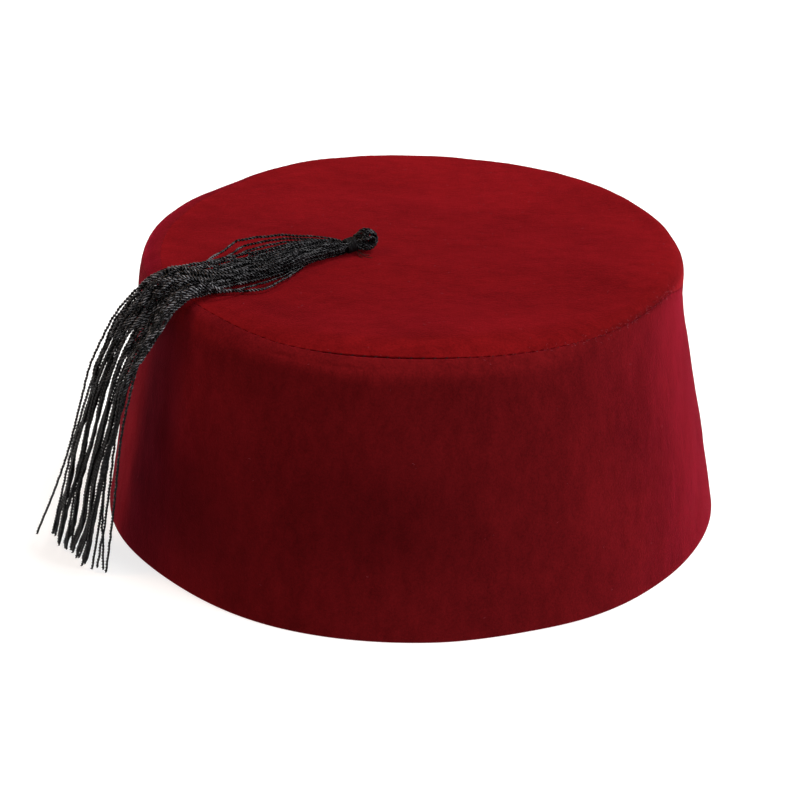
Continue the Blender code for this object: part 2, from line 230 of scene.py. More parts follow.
# The skirt's route as its solid has it, and one more row below it for the cords' tips.
SKIRT = (
    # name, azimuth, inward, off, width, depth
    ("opens out", 204.0, 50.0, 0.0, 9.5, 4.8),
    ("spread", 206.0, 43.5, 0.0, 14.0, 5.0),
    ("widest on the top", 209.6, 32.0, 0.0, 20.0, 5.0),
    ("drawn together", 210.6, 21.0, 0.0, 19.5, 5.4),
    ("pinched", 212.0, 9.5, 0.0, 17.5, 6.0),
    ("at the shoulder", 211.6, 1.0, 0.2, 18.0, 6.0),
    ("over the edge", 210.6, -4.5, 2.6, 19.5, 6.0),
    ("leaves the wall", 209.2, -14.0, 7.4, 21.0, 6.2),
    ("upper fall", 208.5, -26.5, 11.4, 22.5, 6.6),
    ("middle fall", 207.5, -40.0, 12.9, 24.0, 7.0),
    ("lower fall", 206.4, -60.0, 13.8, 27.0, 7.5),
    ("ends", 204.2, -84.0, 11.8, 31.0, 8.0),
)
TIPS_ROW = ("tips", 203.8, -88.2, 11.3, 31.5, 8.0)

# The cords.
CORD_RADIUS = 0.48 * MM
CORD_SPACE = 0.91 * MM          # between the middles of two cords that touch
PILE = 0.25 * MM                # room between a cord and the cloth, for the cloth's fine relief
TOUCH = 0.05 * MM               # the same for what lies flat beside the tassel's head
PLY_RADIUS = 0.26 * MM
PLY_WAIST = 1.06                # how much the waist between the plies is filled
TWIST = 2.20 * MM               # one full turn of the two plies
TUBE_TIP = 0.1 * MM             # how far a tube's ends stand out in the middle
CORD_STEP = 0.31 * MM
SQUEEZE = 0.60                  # how much thinner the cords are inside the winding
SQUEEZE_ENDS = 1.3              # the station where they are as thick as anywhere
INSIDE_WINDING = 1.6 * MM       # how far the cords run on into the winding
INSIDE_STATION = -0.2           # what that end counts as
CORDS = 42                      # those that follow the bundle
CROSSERS = 8                    # of them, those that cross over the others before the edge
ROUTE_STEP = 0.6 * MM
ROUTE_TRIALS = 500              # points that the bundle's length is measured with
TIP_HEIGHTS = (1.0, 3.4)        # of the bundle's cords, in millimetres
TIP_SCALE = 0.8
LOWEST_TIPS_FROM = 9.0          # a cord may end below its tip height only after this station
ALMOST_ALL = 1.0 - 1e-9         # keeps a place just inside the last row of a table
ANY_WAY = (0.31, 0.52, 0.79)    # a direction that no cord starts in
HEAD_NUMBERS = 60               # the first numbers of the tassel's other threads
BINDING_NUMBERS = 80
TAIL_NUMBERS = 90

# How the bundle's cords lie, as shares of its half width and half depth: the share kept of the
# place before, the size of the random shift, and the limit.
NECK_FILL = 0.92
NECK_ACROSS = (1.0, 0.2, 0.96)
NECK_UP = (1.0, 0.3, 0.95)
MIXED_ACROSS = (0.7, 0.4, 0.95)
MIXED_UP = (0.6, 0.4, 0.9)
MIX_STARTS = (2.4, 4.2)         # stations where the cords start to change places
MIX_LENGTH = 1.7
CROSSER_NECK = (-0.95, -0.45)
CROSSER_ACROSS = (0.1, 0.95)
CROSSER_UP = (0.75, 1.0)
CROSSER_START = 4.4
CROSSER_LEAN = 0.5              # how much a low place counts against one at the left
GATHER = 0.24                   # how much narrower the bundle is between the two ramps
GATHER_STARTS = (0.8, 2.4)
GATHER_ENDS = (4.2, 5.6)
FALL_STARTS = (6.0, 8.6)        # stations where the cords go over to the hanging strands
FLATTENED = 0.7                 # how much thinner the bundle is at its sides

# Sways of the cords: shortest wave, longest wave and size, in millimetres.
WANDER = ((24.0, 46.0, 0.75), (9.0, 17.0, 0.20))
WANDER_OUT = 0.7                # of the sway across
WANDER_FREED = (0.0, 1.6)       # stations where it sets in
HANGING_CALM = 0.72             # how much calmer the hanging cords are
KINKS = (3.2, 6.5, 0.075)
KINKS_FREED = (0.3, 1.6)
STRAND_SWAY = (20.0, 40.0, 0.32)
SWAY_WAVES = 3
SWAY_WHOLE = 1.7                # about the size of that many waves summed

# Pushing the cords apart: turns, then the shares and the limit of a single turn.
SETTLE_TURNS = 80
SETTLE_PUSH = 0.32
SETTLE_LIMIT = 0.25 * MM
SETTLE_SMOOTH = 0.25
SETTLE_RETURN = 0.015           # back to the wanted place
STRAY_HOLD = 6.0                # how much more the straying cords keep to theirs
LIFT_TURNS = 6                  # then off the cloth
LIFT_SMOOTH = 0.08

# The strands that the cords hang in, seen along +Y: how far each lies left or right of the
# bundle's middle line, in millimetres, from "over the edge" down to the tips.
STRANDS = (
    # station, three left of the main slit, three right of it
    (7.0, -4.6, -3.0, -1.3, 0.4, 2.2, 3.9),
    (8.0, -5.5, -3.5, -1.3, 0.6, 2.6, 4.6),
    (9.0, -3.9, -2.2, -0.4, 1.3, 3.1, 4.8),
    (10.0, -3.6, -1.5, 0.1, 2.2, 3.8, 5.4),
    (10.7, -4.3, -2.1, -0.3, 1.9, 3.7, 5.5),
    (11.35, -4.5, -2.6, -0.8, 1.8, 3.4, 5.0),
    (12.0, -6.5, -4.9, -2.6, 0.1, 1.9, 3.8),
    (13.0, -7.0, -5.5, -3.0, -0.2, 1.6, 3.5),
)
STRAND_MIX = 0.28               # how far the cords' order is mixed between the strands
STRAND_SCATTER = 0.17 * MM      # of the cords of a strand, sideways
STRAND_DEPTH = 2.9 * MM         # and half their spread away from the front
STRAND_SLANT = -1.7             # how much further back a strand lies for each step to the right

# Cords that stray from the bundle: places across and out from its middle, in millimetres.
STRAYS = (
    # name, tip height, (station, across, out) ...
    ("far left", 3.6, (
        (0, 1.2, 1.2), (1, 2.6, 1.9), (3, 6.0, 1.6), (5, 7.2, 1.8), (6, 8.5, 2.0), (7, 9.0, 2.4),
        (8, 9.5, 2.5), (9, 10.0, 2.1), (10, 10.5, 1.3), (11, 11.0, 1.9), (12, 11.0, 7.6),
        (13, 11.0, 9.0))),
    ("second left", 3.4, (
        (0, 0.6, 1.5), (1, 2.0, 2.0), (3, 5.0, 2.0), (5, 6.4, 2.2), (6, 7.8, 2.0), (7, 8.0, 2.1),
        (8, 8.0, 1.2), (9, 8.0, 0.6), (10, 8.5, 1.0), (11, 9.5, 1.4), (12, 10.0, 3.5),
        (13, 10.0, 4.2))),
    ("arc above", 2.2, (
        (0, 0.8, 1.5), (1, 2.9, 2.5), (2, 11.3, 2.0), (3, 18.0, 1.0), (4, 12.7, 0.5), (5, 6.1, 1.0),
        (6, 7.4, 0.8), (8, 6.4, 0.6), (10, 5.0, 1.6), (12, 6.0, 3.0), (13, 6.2, 3.2))),
    ("arc below it", 2.6, (
        (0, 1.0, 1.0), (1, 3.5, 1.5), (2, 10.8, 1.0), (3, 15.3, 0.0), (4, 9.8, 0.0), (5, 4.3, 1.0),
        (6, 5.6, 1.4), (8, 3.0, 1.8), (10, 3.6, 2.0), (12, 4.0, 3.4), (13, 4.0, 3.6))),
    ("third arc", 2.0, (
        (0, 1.3, 0.6), (1, 3.2, 0.9), (2, 9.4, 0.4), (3, 13.0, -0.6), (4, 9.4, -0.8), (5, 7.0, 0.2),
        (6, 4.0, 2.6), (8, 1.0, 2.4), (10, 2.0, 1.0), (12, 1.0, 2.0), (13, 1.0, 2.0))),
    ("lower strand", 1.6, (
        (0, 0.0, -1.2), (1, -1.2, -1.5), (2, -2.9, -1.8), (3, -7.9, -1.9), (4, -12.2, -1.9),
        (5, -6.8, -1.9), (6, -6.4, -1.0), (8, -5.0, 0.4), (10, -6.0, 0.0), (12, -7.0, -1.6),
        (13, -7.2, -1.8))),
    ("second lower strand", 1.4, (
        (0, 0.3, -1.4), (1, -0.8, -1.5), (2, -2.0, -1.8), (3, -6.4, -1.9), (4, -8.6, -1.8),
        (5, -9.6, -0.6), (5.5, -6.0, 2.6), (6.2, 1.0, 4.2), (7, 4.0, 3.6), (9, 2.0, 2.4),
        (12, 1.6, 0.4), (13, 1.6, 0.2))),
    ("near the wall", 1.3, (
        (0, -0.8, -0.8), (2, -3.8, -1.4), (4, -6.0, -1.4), (6, -7.6, 0.4), (7, -9.0, 2.0),
        (8, -10.5, 1.0), (9, -12.0, -1.2), (10, -13.0, -2.6), (11, -14.0, -4.9), (12, -15.0, -5.4),
        (13, -15.2, -5.4))),
    ("beside that cord", 1.9, (
        (0, -1.0, -0.4), (2, -3.4, -1.0), (4, -5.0, -0.8), (6, -7.0, 1.0), (7, -8.2, 2.4),
        (8, -9.6, 1.8), (9, -10.8, 0.2), (10, -11.6, -1.4), (11, -12.6, -3.4), (12, -13.0, -3.2),
        (13, -13.1, -3.1))),
    ("right of the clumps", 1.2, (
        (0, -1.3, -0.2), (2, -4.6, -0.6), (4, -5.4, 0.2), (6, -6.8, 1.4), (8, -8.0, 1.5),
        (9, -8.5, 0.3), (10, -9.0, -0.8), (11, -11.0, -2.4), (12, -12.0, -2.0), (13, -12.2, -1.8))),
    ("crossing it", 1.5, (
        (0, -1.2, 0.4), (2, -4.0, 0.6), (4, -4.6, 1.0), (6, -6.0, 2.2), (8, -8.5, 1.2),
        (9, -9.5, -0.1), (10, -10.5, -1.0), (11, -12.0, -2.2), (12, -13.5, -5.0), (13, -13.8, -5.6))),
)

# The camera: aimed at the hat's axis, from the front.
CAMERA_RISE = 24.96             # degrees above the floor
CAMERA_AWAY = 813.6 * MM
CAMERA_AIM_Z = 41.0 * MM
CAMERA_ROLL = -0.652            # degrees
FOCAL_PIXELS = 2619.5
FRAME_PIXELS = 800.0
AXIS_PIXEL = (411.5, 372.7)     # where the aim lies in the frame
SENSOR = 36.0

# The floor, which glows so that shadows on it stay pale, and the lights.
WHITE = (1.0, 1.0, 1.0)
FLOOR_REACH = 12.0
FLOOR_COLOUR = (0.46, 0.46, 0.46)
FLOOR_GLOW = 0.76
WORLD_GLOW = 0.20
LIGHTS = (
    # name, azimuth, elevation, distance, size, power, colour
    ("key", 10.0, 66.0, 1.4, 0.6, 19.5, WHITE),
    ("front_right", 334.0, 30.0, 1.6, 0.8, 20.0, WHITE),
    ("left", 187.0, 42.0, 1.6, 0.6, 8.5, (1.0, 0.58, 0.32)),
)


# Reading tables and shaping the hat.

def fade(distance, reach):
    """One at no distance, nothing from the reach on, smooth in between."""
    return 0.5 + 0.5 * np.cos(np.pi * np.clip(np.abs(distance) / reach, 0.0, 1.0))


def ramp(value, low, high):
    """Nothing below low, one above high, smooth in between."""
    part = np.clip((value - low) / (high - low), 0.0, 1.0)
    return part * part * (3.0 - 2.0 * part)


def apart(azimuth, other):
    """The turn from one azimuth to another, between half a turn back and half a turn on."""
    return (azimuth - other + 180.0) % 360.0 - 180.0


def along_rows(rows, at):
    """Values of a table at places in its first column, on a smooth curve through its rows."""
    table = np.array(rows, float)
    at = np.asarray(at, float)
    index = np.clip(np.searchsorted(table[:, 0], at, side="right") - 1, 1, len(table) - 3)
    before, start, end, after = (table[index + shift] for shift in (-1, 0, 1, 2))
    span = end[..., :1] - start[..., :1]
    part = (at[..., None] - start[..., :1]) / span
    low, high = start[..., 1:], end[..., 1:]
    rise = (high - before[..., 1:]) / (end[..., :1] - before[..., :1]) * span
    next_rise = (after[..., 1:] - low) / (after[..., :1] - start[..., :1]) * span
    return (low + rise * part + (3.0 * (high - low) - 2.0 * rise - next_rise) * part ** 2
            + (2.0 * (low - high) + rise + next_rise) * part ** 3)


def padded(rows):
    """The rows with one more beyond each end, so that the smooth curve reaches the ends."""
    before = (2.0 * rows[0][0] - rows[1][0], *rows[0][1:])
    after = (2.0 * rows[-1][0] - rows[-2][0], *rows[-1][1:])
    return [before, *rows, after]


def seam_at(azimuth):
    """The seam's distance inward along the cloth, in metres."""
    rows = [(row[0] + turn, row[1]) for turn in (-360.0, 0.0, 360.0) for row in SEAM]
    return along_rows(rows, azimuth % 360.0)[..., 0] * MM


def waves(points, wavelength, seed):
    """A smooth random height, about one in size, that repeats nowhere on the hat."""
    random = np.random.default_rng(seed)
    total = np.zeros(points.shape[:-1])
    for _ in range(SWELL_WAVES):
        way = random.normal(size=3)
        way /= np.linalg.norm(way)
        length = wavelength * random.uniform(*SWELL_SPREAD)
        total += np.cos(2.0 * np.pi * (points @ way) / length + random.uniform(0.0, 2.0 * np.pi))
    return total * math.sqrt(2.0 / SWELL_WAVES)


def meridian(inward):
    """Radius, height and the normal's slope of the plain outer surface."""
    slope = np.clip(TAPER + (inward + HALF_SHOULDER) / SHOULDER, TAPER, math.pi / 2.0)
    radius = SHOULDER_CENTRE_R + SHOULDER * np.cos(slope)
    height = SHOULDER_CENTRE_Z + SHOULDER * np.sin(slope)
    up_wall = (inward - WALL_FOOT) * math.cos(TAPER)
    on_wall = inward < -HALF_SHOULDER
    radius = np.where(on_wall, RIM_RADIUS - up_wall * math.tan(TAPER), radius)
    height = np.where(on_wall, up_wall, height)
    radius = np.where(inward > HALF_SHOULDER, DISC_CENTRE - inward, radius)
    return radius, height, slope


def stitch_phase(azimuth):
    """How far along the seam's stitches an azimuth lies, a whole number at each stitch."""
    return np.interp(azimuth % 360.0, SEAM_AZIMUTHS, SEAM_LENGTHS) / SEAM_LENGTHS[-1] * STITCHES


def pull(azimuth):
    """One at a stitch, nothing midway between two."""
    return 0.5 + 0.5 * np.cos(2.0 * np.pi * stitch_phase(azimuth))


def covered(azimuth):
    """How far the pile hides the seam."""
    return sum(share * ramp(fade(apart(azimuth, middle), spread), 0.0, COVER_EDGE)
               for middle, spread, share in SEAM_COVERED)


def table_shape(rows, azimuth, inward):
    """The sum of a table's soft bumps, each the last value of its row in size."""
    return sum(out * MM * fade(apart(azimuth, middle), spread) * fade(inward / MM - place, reach)
               for _, middle, spread, place, reach, out in rows)


def relief(azimuth, inward, fine):
    """How far the cloth stands out from the plain cone."""
    out = table_shape(BULGES, azimuth, inward)
    if not fine:
        return out
    out = out + table_shape(CREASES, azimuth, inward)
    radius, height, _ = meridian(inward)
    points = np.stack([radius * np.cos(azimuth * DEG), radius * np.sin(azimuth * DEG), height], -1)
    calm = ramp(inward, WALL_FOOT, WALL_FOOT + RIM_CALM)
    for wavelength, size, seed in SWELLS:
        out = out + size * calm * waves(points, wavelength, seed)
    beside = np.abs(inward - seam_at(azimuth))
    wavelength, share, seed = VALLEY_SWELL
    depth = VALLEY * (1.0 + share * waves(points, wavelength, seed))
    depth = depth * (1.0 - VALLEY_AT_STITCH * pull(azimuth))
    depth = depth * (1.0 - COVERED_VALLEY * covered(azimuth))
    return out - depth * (1.0 - np.clip(beside / VALLEY_REACH, 0.0, 1.0)) ** 2


def shaped(azimuth, radius, height, inward, fine):
    """Points of the plain cone moved out by the relief there, and lifted beside the rim."""
    out = relief(azimuth, inward, fine)
    upwards = np.clip(0.5 + 0.5 * inward / SOFT_EDGE, 0.0, 1.0) * math.pi / 2.0
    radius = radius + out * np.cos(upwards)
    height = height + out * np.sin(upwards)
    lift = sum(rise * MM * fade(apart(azimuth, middle), spread)
               for _, middle, spread, rise in LIFTS) * fade(height, LIFT_REACH)
    return np.stack([AXIS_X + radius * np.cos(azimuth * DEG), radius * np.sin(azimuth * DEG),
                     height + lift], -1)


def on_cloth(azimuth, inward, depth, fine=True):
    """Points of the cloth, depth below its outer surface."""
    azimuth, inward, depth = np.broadcast_arrays(azimuth, inward, depth)
    radius, height, slope = meridian(inward)
    return shaped(azimuth, radius - depth * np.cos(slope), height - depth * np.sin(slope),
                  inward, fine)


def on_hat(points):
    """Where points lie by the hat's plain surface: azimuth, inward, distance out, and normal."""
    x, y, z = points[..., 0] - AXIS_X, points[..., 1], points[..., 2]
    radius = np.maximum(np.hypot(x, y), 1e-9)
    azimuth = np.arctan2(y, x) / DEG % 360.0
    beside, above = radius - SHOULDER_CENTRE_R, z - SHOULDER_CENTRE_Z
    slope = np.clip(np.arctan2(above, beside), TAPER, math.pi / 2.0)
    gap = beside * np.cos(slope) + above * np.sin(slope) - SHOULDER
    inward = np.where(slope >= math.pi / 2.0, HALF_SHOULDER - beside,
                      (slope - TAPER) * SHOULDER - HALF_SHOULDER)
    down_wall = (above - SHOULDER * math.sin(TAPER)) / math.cos(TAPER)
    inward = np.where(slope <= TAPER, -HALF_SHOULDER + down_wall, inward)
    normal = np.stack([np.cos(slope) * x / radius, np.cos(slope) * y / radius, np.sin(slope)], -1)
    return azimuth, inward, gap, normal


SEAM_AZIMUTHS = np.linspace(0.0, 360.0, 1441)
SEAM_PATH = np.stack([*meridian(seam_at(SEAM_AZIMUTHS))[:2], SEAM_AZIMUTHS * DEG], -1)
SEAM_STEPS = np.diff(SEAM_PATH, axis=0)
SEAM_LENGTHS = np.concatenate([[0.0], np.cumsum(np.sqrt(
    SEAM_STEPS[:, 0] ** 2 + SEAM_STEPS[:, 1] ** 2
    + (SEAM_PATH[1:, 0] * SEAM_STEPS[:, 2]) ** 2))])
STITCHES = round(SEAM_LENGTHS[-1] / STITCH)


# Meshes.

def add_object(name, data):
    thing = bpy.data.objects.new(name, data)
    bpy.context.scene.collection.objects.link(thing)
    return thing


def make_piece(name, points, faces, materials, replaced=()):
    """A smooth mesh object that rides on the hat's one body."""
    mesh = bpy.data.meshes.new(name)
    mesh.from_pydata(points.tolist(), [], faces)
    mesh.shade_smooth()
    for material in materials:
        mesh.materials.append(material)
    piece = add_object(name, mesh)
    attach(piece, BODY)
    if replaced:
        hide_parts(*replaced)
    return piece


def make_velvet(node, points, faces, lined, materials):
    """A velvet piece with painted light and shade on its pile, kept as a point attribute; its lined
    faces are the backing.
    """
    piece = make_piece(node + "_velvet", points, faces, materials, (node,))
    azimuth, inward, _, _ = on_hat(points)
    # painted light and shade: a share that scales the base colour at each point
    share = 1.0 + table_shape(PAINTED_SHADING, azimuth, inward) / MM
    attribute = piece.data.attributes.new("shade", "FLOAT", "POINT")
    attribute.data.foreach_set("value", share.astype(np.float32))
    indices = np.zeros(len(faces), np.int32)
    indices[lined] = 1
    piece.data.polygons.foreach_set("material_index", indices)


def skin_faces(rings, sides, closed):
    """Quads between rings of points, outward where rings go up the outside of a turned shape."""
    index = np.arange(rings * sides).reshape(rings, sides)
    after = np.roll(index, -1, axis=1)
    if closed:
        following, following_after = np.roll(index, -1, axis=0), np.roll(after, -1, axis=0)
    else:
        index, following = index[:-1], index[1:]
        after, following_after = after[:-1], after[1:]
    return np.stack([index, after, following_after, following], -1).reshape(-1, 4)


def capped_faces(rings, sides):
    """The same for open rings, closed by a pole at each end; the poles come after the rings."""
    faces = skin_faces(rings, sides, False).tolist()
    low_pole, last_ring = rings * sides, (rings - 1) * sides
    for index in range(sides):
        after = (index + 1) % sides
        faces.append((low_pole, after, index))
        faces.append((last_ring + index, last_ring + after, low_pole + 1))
    return faces


def even_steps(first, last, count):
    """Places in even steps from first to last, without first."""
    return [first + (last - first) * (index + 1) / count for index in range(count)]


def cloth_rows(first, last, count, depth):
    """Rings of the cloth at such places, depth below its outer surface."""
    return [on_cloth(AZIMUTHS, place, depth) for place in even_steps(first, last, count)]


def rim_fold(foot_radius, fold, inset):
    """A quarter round from the rim's foot up to the wall's outside or, inset -1, its inside."""
    rows = []
    for angle in np.linspace(0.0, math.pi / 2.0, FOLD_STEPS + 1):
        height = fold * (1.0 - math.cos(angle))
        radius = foot_radius - height * math.tan(TAPER) - inset * fold * (1.0 - math.sin(angle))
        rows.append(shaped(AZIMUTHS, radius, height, np.full_like(AZIMUTHS, WALL_FOOT), True))
    return rows


def seam_edge(side):
    """Where a lip ends at the seam, and how far it is rolled."""
    gape = fade(apart(AZIMUTHS, SEAM_OPEN_AT), SEAM_OPEN_SPREAD)
    dash = np.maximum(1.0 - ramp(pull(AZIMUTHS), *STITCH_HOLDS), ramp(gape, *GAPE_JOINS))
    gap = SEAM_GAP * (GAP_AT_STITCH + (1.0 - GAP_AT_STITCH) * dash) + SEAM_GAP_OPEN * gape
    gap = gap * (1.0 - COVERED_GAP * covered(AZIMUTHS))
    shown = dash * (1.0 - COVERED_ROLL * covered(AZIMUTHS))
    roll = SEAM_ROLL_CLOSED + (SEAM_ROLL - SEAM_ROLL_CLOSED) * shown
    return seam_at(AZIMUTHS) + side * gap / 2.0, roll


def seam_lip(side):
    """The cloth's edge rolled down into the seam, then cut back to the cloth's inside."""
    edge, roll = seam_edge(side)
    rows = []
    for angle in np.linspace(0.0, math.pi / 2.0, LIP_STEPS + 1):
        rows.append(on_cloth(AZIMUTHS, edge + side * roll * (1.0 - math.sin(angle)),
                             roll * (1.0 - math.cos(angle))))
    rows.append(on_cloth(AZIMUTHS, edge + side * SEAM_UNDERCUT / 2.0, (SEAM_ROLL + CLOTH) / 2.0))
    rows.append(on_cloth(AZIMUTHS, edge + side * SEAM_UNDERCUT, CLOTH))
    return rows


def make_band(materials):
    """The wall: up its outside to the seam, down its inside, and down the hem to the rim."""
    edge, roll = seam_edge(-1.0)
    knee = np.minimum(-HALF_SHOULDER, edge - SHOULDER)
    outside = (rim_fold(RIM_RADIUS, RIM_FOLD, 1.0)
               + cloth_rows(WALL_FOOT + RIM_FOLD, knee, WALL_STEPS, 0.0)
               + cloth_rows(knee, edge - roll, SHOULDER_STEPS, 0.0)[:-1]
               + seam_lip(-1.0))
    hem_top = WALL_FOOT + HEM
    inside = cloth_rows(edge, hem_top + HEM_EDGE, INSIDE_STEPS, CLOTH)
    hem = []
    for share in HEM_EDGE_SHARES:
        hem.append(on_cloth(AZIMUTHS, hem_top + HEM_EDGE * share,
                            CLOTH + HEM_DEPTH * math.sqrt(1.0 - share)))
    for place in even_steps(hem_top, WALL_FOOT + HEM_FOOT, HEM_STEPS):
        rise = ramp(place - WALL_FOOT, *HEM_RISES)
        hem.append(on_cloth(AZIMUTHS, place, CLOTH + HEM_DEPTH * rise))
    inner_foot = RIM_RADIUS - CLOTH / math.cos(TAPER)
    rings = outside + inside + hem + rim_fold(inner_foot, RIM_FOLD_INSIDE, -1.0)[::-1]
    lined = slice((len(outside) - 1) * AROUND, (len(outside) + len(inside)) * AROUND)
    make_velvet("side_band", np.concatenate(rings), skin_faces(len(rings), AROUND, True).tolist(),
                lined, materials)


def make_disc(materials):
    """The top: from the middle of its inside out to the seam, and back to the middle above."""
    edge, roll = seam_edge(1.0)
    knee = np.maximum(HALF_SHOULDER, edge + SHOULDER)
    below = cloth_rows(DISC_CENTRE, edge, INSIDE_STEPS, CLOTH)[:-1]
    rings = (below + seam_lip(1.0)[::-1] + cloth_rows(edge + roll, knee, SHOULDER_STEPS, 0.0)
             + cloth_rows(knee, DISC_CENTRE, DISC_STEPS, 0.0)[:-1])
    poles = [on_cloth(np.zeros(1), DISC_CENTRE, depth) for depth in (CLOTH, 0.0)]
    faces = capped_faces(len(rings), AROUND)
    lined = np.r_[:len(below) * AROUND, len(faces) - 2 * AROUND:len(faces):2]
    make_velvet("top_disc", np.concatenate(rings + poles), faces, lined, materials)


def make_seam_turning(backing):
    """The two cloths' raw edges, turned inside and pressed flat under the seam."""
    upper, lower = TURNING_DEPTHS
    rings = [on_cloth(AZIMUTHS, seam_at(AZIMUTHS) + side * TURNING, depth)
             for side, depth in ((-1.0, upper), (0.0, upper), (1.0, upper),
                                 (1.0, lower), (0.0, lower), (-1.0, lower))]
    faces = skin_faces(len(rings), AROUND, True).tolist()
    make_piece("seam_turning", np.concatenate(rings), faces, (backing,))


# Cords: resampled routes, and tubes along them.

def direction(azimuth, elevation):
    """The unit vector towards an azimuth and an elevation, in degrees."""
    azimuth, elevation = azimuth * DEG, elevation * DEG
    return Vector((math.cos(azimuth) * math.cos(elevation),
                   math.sin(azimuth) * math.cos(elevation), math.sin(elevation)))


TASSEL_WAY = direction(HEADING, -DROOP)


def lengths_along(points):
    """How far along a route each of its points lies."""
    steps = np.linalg.norm(np.diff(points, axis=0), axis=1)
    return np.concatenate([[0.0], np.cumsum(steps)])


def resampled(points, step):
    """The route with points an equal step apart along it, through a smooth curve."""
    lengths = lengths_along(points)
    rows = padded([(length, *point) for length, point in zip(lengths, points)])
    count = max(4, int(round(lengths[-1] / step)))
    return along_rows(rows, np.linspace(0.0, lengths[-1] * ALMOST_ALL, count + 1))


def carried_frames(points):
    """Directions across a route that turn with it and no more."""
    ahead = np.gradient(points, axis=0)
    ahead /= np.linalg.norm(ahead, axis=1)[:, None]
    start = np.cross(ahead[0], ANY_WAY)
    across = np.empty_like(points)
    across[0] = start / np.linalg.norm(start)
    for index in range(1, len(points)):
        turned = across[index - 1] - ahead[index] * (across[index - 1] @ ahead[index])
        across[index] = turned / np.linalg.norm(turned)
    return ahead, across, np.cross(ahead, across)


def ply_outline():
    """The cross-section of two plies that touch, anticlockwise."""
    offset = CORD_RADIUS - PLY_RADIUS
    waist = math.sqrt(PLY_RADIUS ** 2 - offset ** 2) * PLY_WAIST
    angles = np.array((-75.0, -25.0, 25.0, 75.0)) * DEG
    half = [(offset + PLY_RADIUS * math.cos(angle), PLY_RADIUS * math.sin(angle))
            for angle in angles] + [(0.0, waist)]
    return np.array(half + [(-x, -y) for x, y in half])


def tube(points, outline, number, twist=0.0, phase=0.0, scale=1.0):
    """Points, faces and cord coordinates of a closed tube whose section turns along it.

    The coordinates are the length along it, the share of the greatest distance from its middle,
    and its number. The twist is in turns per metre.
    """
    ahead, across, other = carried_frames(points)
    along = lengths_along(points)
    turn = 2.0 * np.pi * twist * along + phase
    cos, sin = np.cos(turn)[:, None], np.sin(turn)[:, None]
    scale = np.broadcast_to(scale, len(points))[:, None]
    x = (outline[:, 0] * cos - outline[:, 1] * sin) * scale
    y = (outline[:, 0] * sin + outline[:, 1] * cos) * scale
    rings = points[:, None] + across[:, None] * x[..., None] + other[:, None] * y[..., None]
    count, sides = rings.shape[:2]
    ends = np.stack([points[0] - ahead[0] * TUBE_TIP, points[-1] + ahead[-1] * TUBE_TIP])
    far = np.linalg.norm(outline, axis=1)
    where = np.zeros((count * sides + 2, 3))
    where[:-2, 0] = np.repeat(along, sides)
    where[:-2, 1] = np.tile(far / far.max(), count)
    where[:, 2] = number
    return np.concatenate([rings.reshape(-1, 3), ends]), capped_faces(count, sides), where


def joined(name, tubes, material, replaced=()):
    """One piece made of many tubes."""
    points, faces, where, base = [], [], [], 0
    for some_points, some_faces, some_where in tubes:
        points.append(some_points)
        where.append(some_where)
        faces.extend([[corner + base for corner in face] for face in some_faces])
        base += len(some_points)
    piece = make_piece(name, np.concatenate(points), faces, (material,), replaced)
    attribute = piece.data.attributes.new("cord", "FLOAT_VECTOR", "POINT")
    attribute.data.foreach_set("vector", np.concatenate(where).astype(np.float32).ravel())


def cloth_gap(points):
    """How far points lie outside the hat's outer surface, and which way is out."""
    azimuth, inward, gap, normal = on_hat(points)
    return gap - relief(azimuth, inward, False), normal


def kept_out(points, distance):
    """The points, moved out to where none is nearer to the cloth than the distance."""
    gap, normal = cloth_gap(points)
    return points + normal * np.clip(distance - gap, 0.0, None)[..., None]


def skirt_rows():
    """The skirt's stations as numbers, from where it leaves the winding."""
    place = HEAD_CENTRE + TASSEL_WAY * (HEAD_LENGTH / 2.0 + WINDING_LENGTH + 2.0 * PIECE_GAP)
    from_axis = Vector((place.x - AXIS_X, place.y))
    azimuth = math.atan2(from_axis.y, from_axis.x) / DEG % 360.0
    size = 2.0 * WINDING_RADIUS / MM
    lowest = (place.z - WINDING_RADIUS - CLEARANCE - HEIGHT) / MM
    start = (azimuth, (DISC_CENTRE - from_axis.length) / MM, lowest, size, size)
    table = [start] + [row[1:] for row in SKIRT + (TIPS_ROW,)]
    return padded([(float(index),) + row for index, row in enumerate(table)])


def skirt_frames():
    """The skirt's middle line, with directions across it and out from the cloth, and its sizes."""
    last = float(len(SKIRT) + 1)

    def middle_line(stations):
        azimuth, inward, off, width, depth = along_rows(skirt_rows(), stations).T
        height = CLEARANCE + (off + depth / 2.0) * MM
        return on_cloth(azimuth, inward * MM, -height, False), azimuth, inward, width, depth

    coarse = np.linspace(0.0, last * ALMOST_ALL, ROUTE_TRIALS)
    lengths = lengths_along(middle_line(coarse)[0])
    along = np.linspace(0.0, lengths[-1], int(lengths[-1] / ROUTE_STEP))
    stations = np.interp(along, lengths, coarse)
    middle, azimuth, inward, width, depth = middle_line(stations)
    slope = meridian(inward * MM)[2]
    normal = np.stack([np.cos(slope) * np.cos(azimuth * DEG),
                       np.cos(slope) * np.sin(azimuth * DEG), np.sin(slope)], -1)
    ahead = np.gradient(middle, axis=0)
    ahead[0] = TASSEL_WAY
    side = np.cross(ahead, normal)
    side /= np.linalg.norm(side, axis=1)[:, None]
    outward = np.cross(side, ahead)
    outward /= np.linalg.norm(outward, axis=1)[:, None]
    return stations, along, middle, side, outward, width * MM / 2.0, depth * MM / 2.0


def wander(along, shortest, longest, size, random):
    """A slow random sway to and fro, for places along a cord."""
    total = np.zeros_like(along)
    for _ in range(SWAY_WAVES):
        wave = random.uniform(shortest, longest) * MM
        total += np.cos(2.0 * np.pi * (along / wave + random.uniform()))
    return total * size * MM / SWAY_WHOLE


